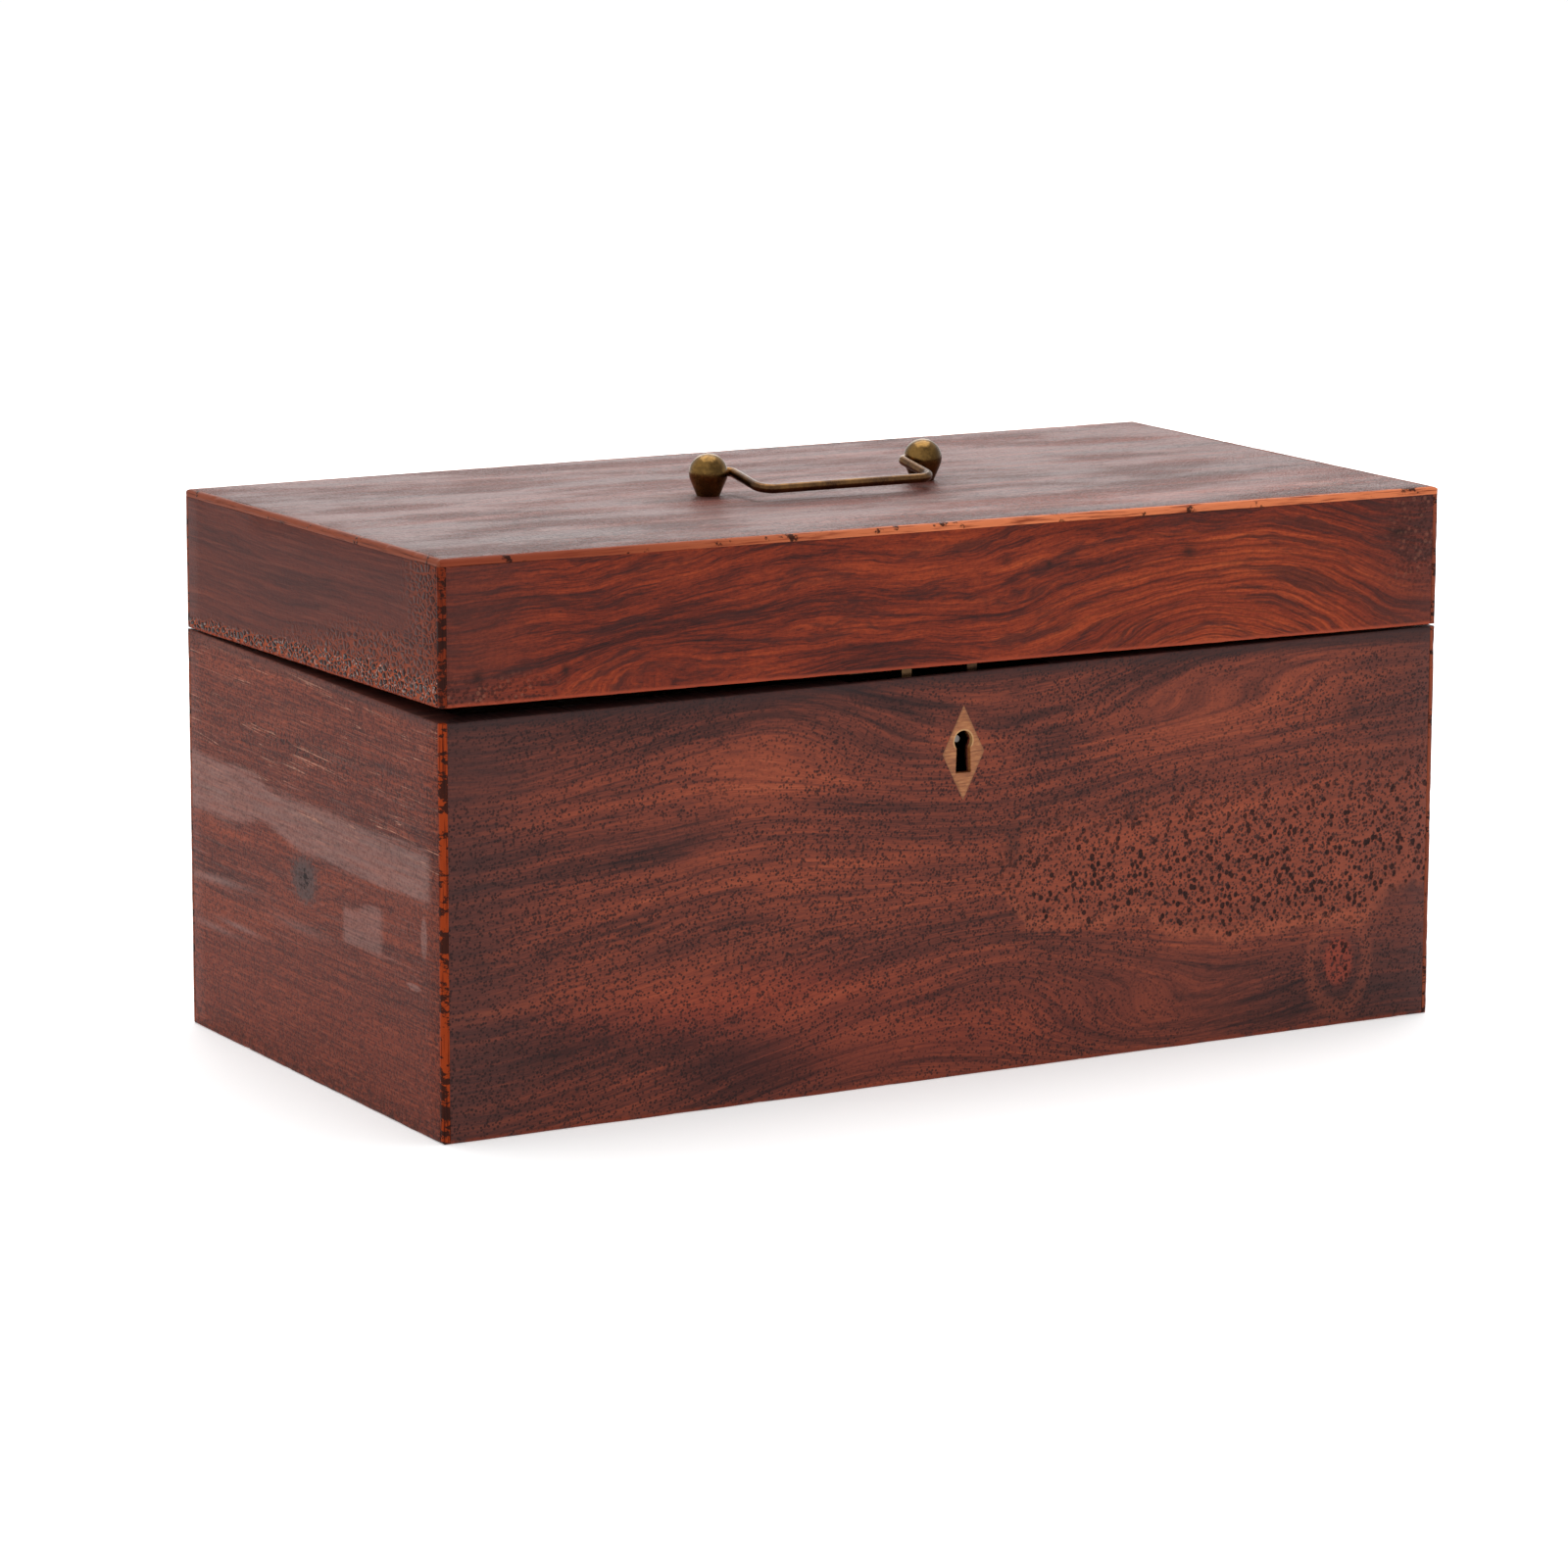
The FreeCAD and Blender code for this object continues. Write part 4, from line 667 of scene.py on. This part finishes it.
def left_wood():
    s = Shader("rosewood_left")
    y, z = s.y, s.z
    wave = (s.noise(y * 0.014, z * 0.02, 3.7, 2.0) - 0.5) * 10
    flow = z + wave + y * 0.03 + s.blob(y, z, 7, 53, 13, 10) * 8
    colour, height = wood(s, y, z, s.x, flow, 8.4, 0.02, 0.55)
    lines = s.noise(y * 0.03, z * 1.5, 5.0, 3.0, 0.65)
    fleck = s.noise(y * 0.28, z * 1.3, 6.0, 3.0, 0.7)
    crust = s.blob(y, z, 0, 89, 90, 6) + s.blob(y, z, -80, 40, 24, 60) * 0.7
    bead = dots(s, y * 0.8, z, 1.3, 0.75, 4.0) * crust
    milk = left_milk(s, y, z, lines)
    knot = s.blob(y, z, 4, 54, 8.5, 7)
    knot_grain = s.noise(y * 0.7, z * 0.7, 4.0, 3.0, 0.7)
    scratch = s.noise(y * 0.012, (z - y * 0.03) * 0.8, 11.0, 1.0)
    broken = s.noise(y * 0.05, z * 0.2, 6.0).above(0.44, 0.56)
    scratch = (scratch - 0.5).abs().above(0.012, 0.0) * broken * z.above(60, 76)
    foot = z.above(9, 3) * s.noise(y * 0.3, z * 0.5, 1.0, 3.0).above(0.45, 0.6)
    small = dots(s, y, z * 1.2, 1.1, 0.85, 1.0) * (1 - milk * 0.7)
    colour = s.cover(
        colour,
        (0.3, tint(92, 58, 55)),
        (z.above(42, 18) * 0.45, tint(126, 60, 46)),
        (lines.above(0.5, 0.62) * 0.4, tint(150, 76, 56)),
        (lines.above(0.46, 0.36) * 0.4, tint(62, 44, 42)),
        (fleck.above(0.54, 0.66) * 0.35, tint(150, 88, 70)),
        (fleck.above(0.45, 0.34) * 0.6, tint(58, 46, 45)),
        (bead * 0.7, tint(48, 38, 37)),
        (milk * 0.66, tint(150, 122, 116)),
        ((knot + (knot_grain - 0.5) * 1.2).above(0.25, 0.7) * 0.75, tint(78, 70, 69)),
        ((knot * knot_grain).above(0.46, 0.52) * 0.9, tint(26, 24, 24)),
        (scratch * 0.7, tint(186, 134, 112)),
        (z.above(105.4, 108.4) * 0.5, tint(70, 54, 52)),
        (foot * 0.5, tint(60, 40, 36)),
        (small * 0.5, tint(56, 38, 37)),
    )
    height = height * 0.35 - small * 0.4 - bead * 0.6 + (fleck - 0.5) * 0.6
    return s.finish(colour, 0.42 + milk * 0.12, height, 0.12, 0.02)


def lid_left_wood():
    s = Shader("rosewood_lid_left")
    y, z = s.y, s.z - rim_z(s.x, s.y)
    wave = (s.noise(y * 0.014, z * 0.03, 9.7, 2.0) - 0.5) * 8
    colour, height = wood(s, y, z, s.x, z + wave, 3.9, 0.0, 0.45)
    sheen = s.noise(y * 0.03, z * 0.8, 5.0, 3.0, 0.65).above(0.52, 0.66)
    # The polish has crazed into glossy black beads, with bare orange wood between them. The
    # beads shrink to a faint fleck away from the lower edge and the front corner.
    edges = stipple(s, y * 0.8, z, 1.7, 2.0)
    ragged = (s.noise(y * 0.16, z * 0.16, 2.0, 3.0, 0.7) - 0.5) * 14
    low = (z + ragged * 0.3 - y.above(70, -40) * 4).above(4.2, 2.0)
    reach = (z + ragged - y.above(50, -50) * 15).above(6, -6)
    reach = s.most(reach, (y + ragged * 0.9).above(-52, -70) * 0.85)
    veins = s.noise(y * 0.2, z * 1.2, 3.0, 3.0, 0.7).above(0.54, 0.64)
    outside = on_left(s)
    crack = s.most(edges.above(0.09, 0.03) * s.most(low, reach * 0.5), veins * reach * 0.55)
    crack = crack * outside
    bead = edges.above(0.05, 0.12) * s.most(low, reach * (1 - veins) * 0.6) * outside
    glint = dots(s, y, z, 1.1, 0.5, 7.0) * low * z.above(0.6, 1.4) * outside
    colour = s.cover(
        colour,
        (0.55, tint(64, 40, 39)),
        (sheen * 0.3, tint(120, 66, 54)),
        (bead * 0.85, tint(30, 24, 24)),
        (crack * 0.75, tint(160, 74, 42)),
        # The orange line along the lower edge is partly wear and partly a painted highlight from
        # the bright floor.
        (z.above(1.2, 0.3) * outside * 0.7, tint(132, 52, 30)),
        (glint * 0.6, tint(176, 154, 146)),
    )
    rough = 0.45 - bead * 0.2 + crack * 0.15
    height = height * 0.3 + edges.above(0.0, 0.32) * (s.most(reach * 0.6, low) * 2.4 + 0.1)
    return s.finish(colour, rough, height, 0.16, 0.03)


def top_wood():
    s = Shader("rosewood_top")
    x, y = s.x, s.y
    wave = (s.noise(x * 0.01, y * 0.02, 4.2, 2.0) - 0.5) * 14
    colour, height = wood(s, x, y, s.z, y + wave, 7.1, -0.02, 0.6)
    beads = stipple(s, x, y, 1.3, 4.0)
    amount = s.noise(x * 0.018, y * 0.05, 2.0, 3.0, 0.6).above(0.4, 0.62)
    grit = s.noise(x * 0.016, y * 0.09, 3.0, 4.0, 0.7).above(0.42, 0.58)
    grit = s.least(grit * 0.8 + y.above(-40, -72) * 0.5, 1.0) * on_top(s)
    grit = grit * dots(s, x, y * 0.6, 1.1, 0.8, 3.0)
    worn = s.noise(x * 0.02, y * 0.16, 6.0, 3.0, 0.6).above(0.55, 0.75)
    brush = s.noise(x * 0.12, y * 0.8, 5.0, 4.0, 0.7).above(0.4, 0.6)
    scuff = marks(s, x, y, (126, -58, 4, 9, 1), (-45, 0, 7, 5, 0.8)) * brush
    worn = s.most(worn * 0.5, scuff) * on_top(s)
    # A painted shadow of the handle: a dark, duller outline on the lid where it lies.
    handle_shadow = ((x + 1).abs() - 28).abs().above(1.6, 0.3) * (y + 12).abs().above(9.5, 7.5)
    handle_shadow = s.most(handle_shadow, (y + 22).abs().above(1.6, 0.4) * (x + 1).abs().above(26, 23))
    colour = s.cover(
        colour,
        (0.25, tint(108, 60, 50)),
        (x.above(20, -140) * 0.3, DARK),
        (grit * 0.65, tint(70, 50, 46)),
        (worn * 0.45, tint(190, 168, 160)),
        (handle_shadow * 0.4, tint(60, 38, 34)),
    )
    rough = 0.4 + amount * 0.12 + worn * 0.15 + handle_shadow * 0.1
    height = height * 0.4 + beads.above(0.0, 0.3) * (amount * 0.9 + 0.3) - grit
    return s.finish(colour, rough, height, 0.26, 0.28)


def plain_case_wood(name, long_axis, seed):
    """The boards that show the same wood with quieter wear."""
    s = Shader(name)
    run = s.x if long_axis == "x" else s.y
    deep = s.y if long_axis == "x" else s.x
    z = s.z
    wave = (s.noise(run * 0.013, z * 0.02, seed, 2.0) - 0.5) * 16
    flow = z + wave + s.blob(run, z, 20 * math.sin(seed), 60, 45, 16) * 22
    colour, height = wood(s, run, z, deep, flow, seed, 0.0, 0.75)
    haze = s.noise(run * 0.03, z * 0.12, seed, 3.0, 0.6).above(0.45, 0.75)
    beads = stipple(s, run, z * 1.3, 1.15, seed)
    amount = s.noise(run * 0.02, z * 0.03, seed + 4, 2.0).above(0.35, 0.65)
    hollow = beads.above(0.2, 0.04) * amount
    edge = s.most(z.above(1.6, 0.4), (z - BODY_TOP).abs().above(1.2, 0.3) * 0.5)
    colour = s.cover(
        colour,
        (haze * 0.35 + 0.1, GREY),
        (hollow * 0.35, BLACKISH),
        (edge * 0.5, tint(156, 80, 54)),
    )
    rough = 0.42 + haze * 0.12 + hollow * 0.15
    height = height * 0.35 + beads.above(0.0, 0.3) * amount * 0.5
    return s.finish(colour, rough, height, 0.12, 0.2)


def string_wood(name, run_axis, dark, bright, blotch, seed, scale=1.0, fade=0.0):
    """Narrow strings: worn orange where the polish has gone, dark where it has gathered.
    blotch is how much of a string is dark, scale how short its dark marks are, and fade how far
    it darkens towards its left end."""
    s = Shader(name)
    axes = {"x": (s.x, s.y, s.z), "y": (s.y, s.x, s.z), "z": (s.z, s.x, s.y)}
    run, side, up = axes[run_axis]
    grain = s.noise(run * 0.08, side * 1.6 + seed, up * 1.6, 3.0, 0.6)
    base = s.ramp(grain, (0.3, dark), (0.5, bright), (0.72, bright))
    spots = s.noise(run * 0.55 * scale, side * 0.28 + seed, up * 0.28, 3.0, 0.65)
    slow = s.noise(run * 0.05 + seed, 0.0, 0.0, 2.0)
    limit = 0.57 - 0.12 * blotch
    mark = (spots + (slow - 0.5) * 0.5).above(limit, limit + 0.09)
    if fade:
        base = s.mix(run.above(20, -130) * fade, base, dark)
    colour = s.mix(mark * 0.92, base, tint(38, 22, 19))
    rough = 0.38 - mark * 0.12 + (grain - 0.5) * 0.3
    height = (grain - 0.5) * 0.5 + mark * 0.8
    return s.finish(colour, rough, height, 0.12, 0.03)


def inner_wood():
    s = Shader("inner_wood")
    x, y, z = s.x, s.y, s.z
    grain = s.noise(x * 0.03, y * 0.5, z * 0.5, 4.0, 0.6)
    rings = s.noise(x * 0.006, y * 0.12, z * 0.12, 2.0)
    colour = s.ramp(
        grain * 0.55 + rings * 0.45, (0.3, tint(78, 42, 28)), (0.5, tint(124, 74, 48)),
        (0.7, tint(158, 100, 66)),
    )
    hole = s.noise(x * 0.3, y * 3.0, z * 3.0, 2.0, 0.6).above(0.58, 0.7)
    colour = s.mix(hole * 0.3, colour, tint(58, 34, 24))
    return s.finish(colour, 0.45 + (grain - 0.5) * 0.4, grain * 0.6 - hole * 0.6, 0.1, 0.4)


# The diamond escutcheon's middle and half sizes, and its keyhole's round end.
DIAMOND_X, DIAMOND_Z, DIAMOND_WIDE, DIAMOND_HIGH = 1.0, 87.6, 6.4, 12.75
KEYHOLE_Z, KEYHOLE_EDGE = 90.8, 2.8


def boxwood():
    s = Shader("boxwood")
    x, z = s.x - DIAMOND_X, s.z
    grain = s.noise(s.x * 0.25, s.y * 0.8, z * 1.9, 3.0, 0.6)
    colour = s.ramp(
        grain, (0.3, tint(112, 62, 34)), (0.5, tint(150, 90, 50)), (0.72, tint(178, 120, 72))
    )
    dirt = s.noise(s.x * 0.5, 0.0, z * 0.5, 3.0, 0.6).above(0.56, 0.7)
    edge = (x.abs() / DIAMOND_WIDE + (z - DIAMOND_Z).abs() / DIAMOND_HIGH).above(0.88, 0.99)
    hole = (x.squared() + (z - KEYHOLE_Z).squared()).power(0.5)
    rim = (hole - KEYHOLE_EDGE).abs().above(0.6, 0.1) * z.above(88.6, 89.6)
    colour = s.cover(
        colour,
        (dirt * 0.25, tint(92, 58, 34)),
        (edge * 0.45, tint(96, 58, 34)),
        (rim * 0.5, tint(214, 172, 116)),
    )
    rough = 0.42 + dirt * 0.15
    return s.finish(colour, rough, grain * 0.6 - dirt * 0.3, 0.08, 0.35)


def brass(name, bright, tarnish, amount):
    s = Shader(name)
    x, y, z = s.x, s.y, s.z
    cloud = s.noise(x * 0.16, y * 0.16, z * 0.16, 4.0, 0.65)
    spots = s.noise(x * 1.1, y * 1.1, z * 1.1, 3.0, 0.6)
    cover = (cloud * 0.8 + spots * 0.2).above(0.35, 0.65) * 0.5 + amount
    colour = s.mix(cover, bright, tarnish)
    fine = s.noise(x * 3.0, y * 3.0, z * 3.0, 2.0)
    rough = 0.17 + cover * 0.1 + (fine - 0.5) * 0.12
    height = (spots - 0.5) * 0.3 + (fine - 0.5) * 0.1
    return s.finish(colour, rough, height, 0.03, 0.5, Metallic=1.0)


def steel():
    s = Shader("dull_steel")
    x, y, z = s.x, s.y, s.z
    cloud = s.noise(x * 0.3, y * 0.3, z * 0.3, 4.0, 0.65)
    rust = cloud.above(0.55, 0.7)
    colour = s.mix(rust, tint(128, 124, 120), tint(96, 66, 48))
    drawn = s.noise(x * 0.4, y * 5.0, z * 5.0, 2.0)
    return s.finish(colour, 0.35 + rust * 0.3, drawn, 0.03, 0.5, Metallic=1.0)


def foil():
    s = Shader("tea_foil")
    x, y, z = s.x, s.y, s.z
    fold = s.noise(x * 0.09, y * 0.09, z * 0.09, 3.0, 0.7)
    crease = (fold - 0.5).abs().above(0.03, 0.0)
    dull = s.noise(x * 0.05, y * 0.05, z * 0.05, 3.0)
    colour = s.ramp(dull, (0.35, tint(130, 128, 122)), (0.65, tint(182, 180, 174)))
    colour = s.mix(crease * 0.4, colour, tint(92, 90, 86))
    return s.finish(colour, 0.36 + dull * 0.2, fold + crease * 0.2, 0.9, 0.5, Metallic=1.0)


def glass():
    s = Shader("blown_glass")
    x, y, z = s.x, s.y, s.z
    waves = s.noise(x * 0.03, y * 0.03, z * 0.08, 2.0)
    seeds = s.cells(x * 0.12, y * 0.12, z * 0.12).above(0.1, 0.04)
    colour = s.mix(seeds * 0.3, tint(232, 240, 236), tint(190, 206, 200))
    return s.finish(
        colour, 0.03 + seeds * 0.1, waves + seeds * 0.1, 0.5, 0.5,
        Transmission_Weight=1.0, IOR=1.5,
    )


def dress(node, material):
    """Gives a carried-over CAD node its material."""
    slots = bpy.data.objects[node].data.materials
    for i in range(max(1, len(slots))):
        if len(slots) <= i:
            slots.append(material)
        else:
            slots[i] = material


# ---- pieces ----------------------------------------------------------------------------------

# Each has whether it is on the lid, the axis that it is long in, and its wood.
X_AXIS, Y_AXIS, Z_AXIS = range(3)
BOARDS = {
    "front_board": (False, X_AXIS, front_wood()),
    "back_board": (False, X_AXIS, plain_case_wood("rosewood_back", "x", 3.0)),
    "left_board": (False, Y_AXIS, left_wood()),
    "right_board": (False, Y_AXIS, plain_case_wood("rosewood_right", "y", 6.0)),
    "lid_front_board": (True, X_AXIS, lid_front_wood()),
    "lid_back_board": (True, X_AXIS, plain_case_wood("rosewood_lid_back", "x", 9.0)),
    "lid_left_board": (True, Y_AXIS, lid_left_wood()),
    "lid_right_board": (True, Y_AXIS, plain_case_wood("rosewood_lid_right", "y", 12.0)),
    "lid_top_board": (True, X_AXIS, top_wood()),
}
corner_bright = string_wood(
    "string_front_left", "z", tint(80, 26, 13), tint(142, 54, 22), 0.75, 1.0
)
corner_dark = string_wood(
    "string_lid_front_left", "z", tint(52, 20, 15), tint(112, 42, 22), 1.0, 2.0
)
corner_dull = string_wood(
    "string_corners", "z", tint(84, 44, 36), tint(128, 64, 44), 0.3, 3.0
)
top_bright = string_wood(
    "string_top_front", "x", tint(116, 50, 34), tint(204, 116, 76), -0.45, 4.0, 0.5, 0.9
)
top_dull = string_wood(
    "string_top_sides", "y", tint(84, 42, 32), tint(128, 66, 46), -0.4, 5.0, 0.5
)
top_back = string_wood(
    "string_top_back", "x", tint(110, 60, 46), tint(160, 92, 66), 0.15, 6.0, 0.5
)
STRINGS = {
    "corner_string_front_left": (False, Z_AXIS, corner_bright),
    "corner_string_front_right": (False, Z_AXIS, corner_dull),
    "corner_string_back_left": (False, Z_AXIS, corner_dull),
    "corner_string_back_right": (False, Z_AXIS, corner_dull),
    "lid_corner_string_front_left": (True, Z_AXIS, corner_dark),
    "lid_corner_string_front_right": (True, Z_AXIS, corner_dull),
    "lid_corner_string_back_left": (True, Z_AXIS, corner_dull),
    "lid_corner_string_back_right": (True, Z_AXIS, corner_dull),
    "lid_top_string_front": (True, X_AXIS, top_bright),
    "lid_top_string_back": (True, X_AXIS, top_back),
    "lid_top_string_left": (True, Y_AXIS, top_dull),
    "lid_top_string_right": (True, Y_AXIS, top_dull),
}
for node, (lid, run, material) in {**BOARDS, **STRINGS}.items():
    piece = worn_piece(node, lid, run)
    piece.data.materials.append(material)
    "string_wood" if node in STRINGS else "case_wood"

SLOT_LOOKS = {
    "inner_wood": inner_wood(),
    "boxwood": boxwood(),
    "aged_brass": brass("old_brass", tint(180, 138, 76), tint(78, 58, 32), 0.5),
    "steel": steel(),
    "tin_foil": foil(),
    "bowl_glass": glass(),
}
for sub in frame["record"]["subparts"]:
    if sub["node"] not in BOARDS and sub["node"] not in STRINGS:
        dress(sub["node"], SLOT_LOOKS[sub["material_slot"]])
dress("bail_handle", brass("dark_brass", tint(150, 110, 64), tint(72, 50, 36), 0.5))
# The lock's link plate gets a darker copy of the brass: painted shade for the dim gap between lid
# and body.
dress("lock_link_plate", brass("shaded_link_brass", tint(112, 84, 56), tint(58, 42, 32), 0.6))

# ---- floor, light and camera -----------------------------------------------------------------

WHITE = (1, 1, 1, 1)
scene = bpy.context.scene
scene.view_settings.view_transform = "Standard"

FLOOR = 6.0
floor_mesh = bpy.data.meshes.new("floor")
floor_mesh.from_pydata(
    [(-FLOOR, -FLOOR, 0), (FLOOR, -FLOOR, 0), (FLOOR, FLOOR, 0), (-FLOOR, FLOOR, 0)],
    [], [(0, 1, 2, 3)],
)
floor = bpy.data.objects.new("floor", floor_mesh)
scene.collection.objects.link(floor)
paper = Shader("white_paper")
speck = paper.noise(paper.x * 0.02, paper.y * 0.02, 0.0)
floor_mesh.materials.append(
    paper.finish(
        paper.mix(speck, (0.93, 0.93, 0.93, 1), (0.95, 0.95, 0.95, 1)), 0.9, specular=0.2,
        Emission_Color=WHITE, Emission_Strength=0.28,
    )
)

world = bpy.data.worlds.new("studio")
scene.world = world
world.use_nodes = True
tree = world.node_tree
tree.nodes.clear()
out = tree.nodes.new("ShaderNodeOutputWorld")
ray = tree.nodes.new("ShaderNodeLightPath")
blend = tree.nodes.new("ShaderNodeMixShader")
tree.links.new(ray.outputs["Is Camera Ray"], blend.inputs[0])
# The light that the world gives, and how bright it looks behind the caddy.
for socket, strength in ((1, 0.8), (2, 1.05)):
    glow = tree.nodes.new("ShaderNodeBackground")
    glow.inputs[0].default_value = WHITE
    glow.inputs[1].default_value = strength
    tree.links.new(glow.outputs[0], blend.inputs[socket])
tree.links.new(blend.outputs[0], out.inputs[0])


def soft_box(name, place, aim, size, power):
    light = bpy.data.lights.new(name, "AREA")
    light.shape, light.size, light.energy = "SQUARE", size, power
    holder = bpy.data.objects.new(name, light)
    holder.location = place
    holder.rotation_euler = (Vector(aim) - Vector(place)).to_track_quat("-Z", "Y").to_euler()
    scene.collection.objects.link(holder)


soft_box("overhead", (0.25, 0.5, 1.9), (0, 0, 0), 1.8, 26)
soft_box("back_fill", (0.9, 2.0, 1.1), (0, 0, 0.1), 1.4, 9)

camera_data = bpy.data.cameras.new("camera")
camera = bpy.data.objects.new("camera", camera_data)
scene.collection.objects.link(camera)
scene.camera = camera
eye, target = Vector((-0.84147, -1.46731, 0.40192)), Vector((-0.00936, 0.0, 0.06684))
ROLL = math.radians(0.17)
back = (eye - target).normalized()
right = Vector((0, 0, 1)).cross(back).normalized()
up = back.cross(right)
tilted_right = right * math.cos(ROLL) + up * math.sin(ROLL)
tilted_up = up * math.cos(ROLL) - right * math.sin(ROLL)
turn = Matrix((tilted_right, tilted_up, back)).transposed()
camera.matrix_world = Matrix.Translation(eye) @ turn.to_4x4()
camera_data.sensor_fit = "HORIZONTAL"
camera_data.sensor_width = 36.0
camera_data.lens = 144.2

bpy.context.view_layer.update()
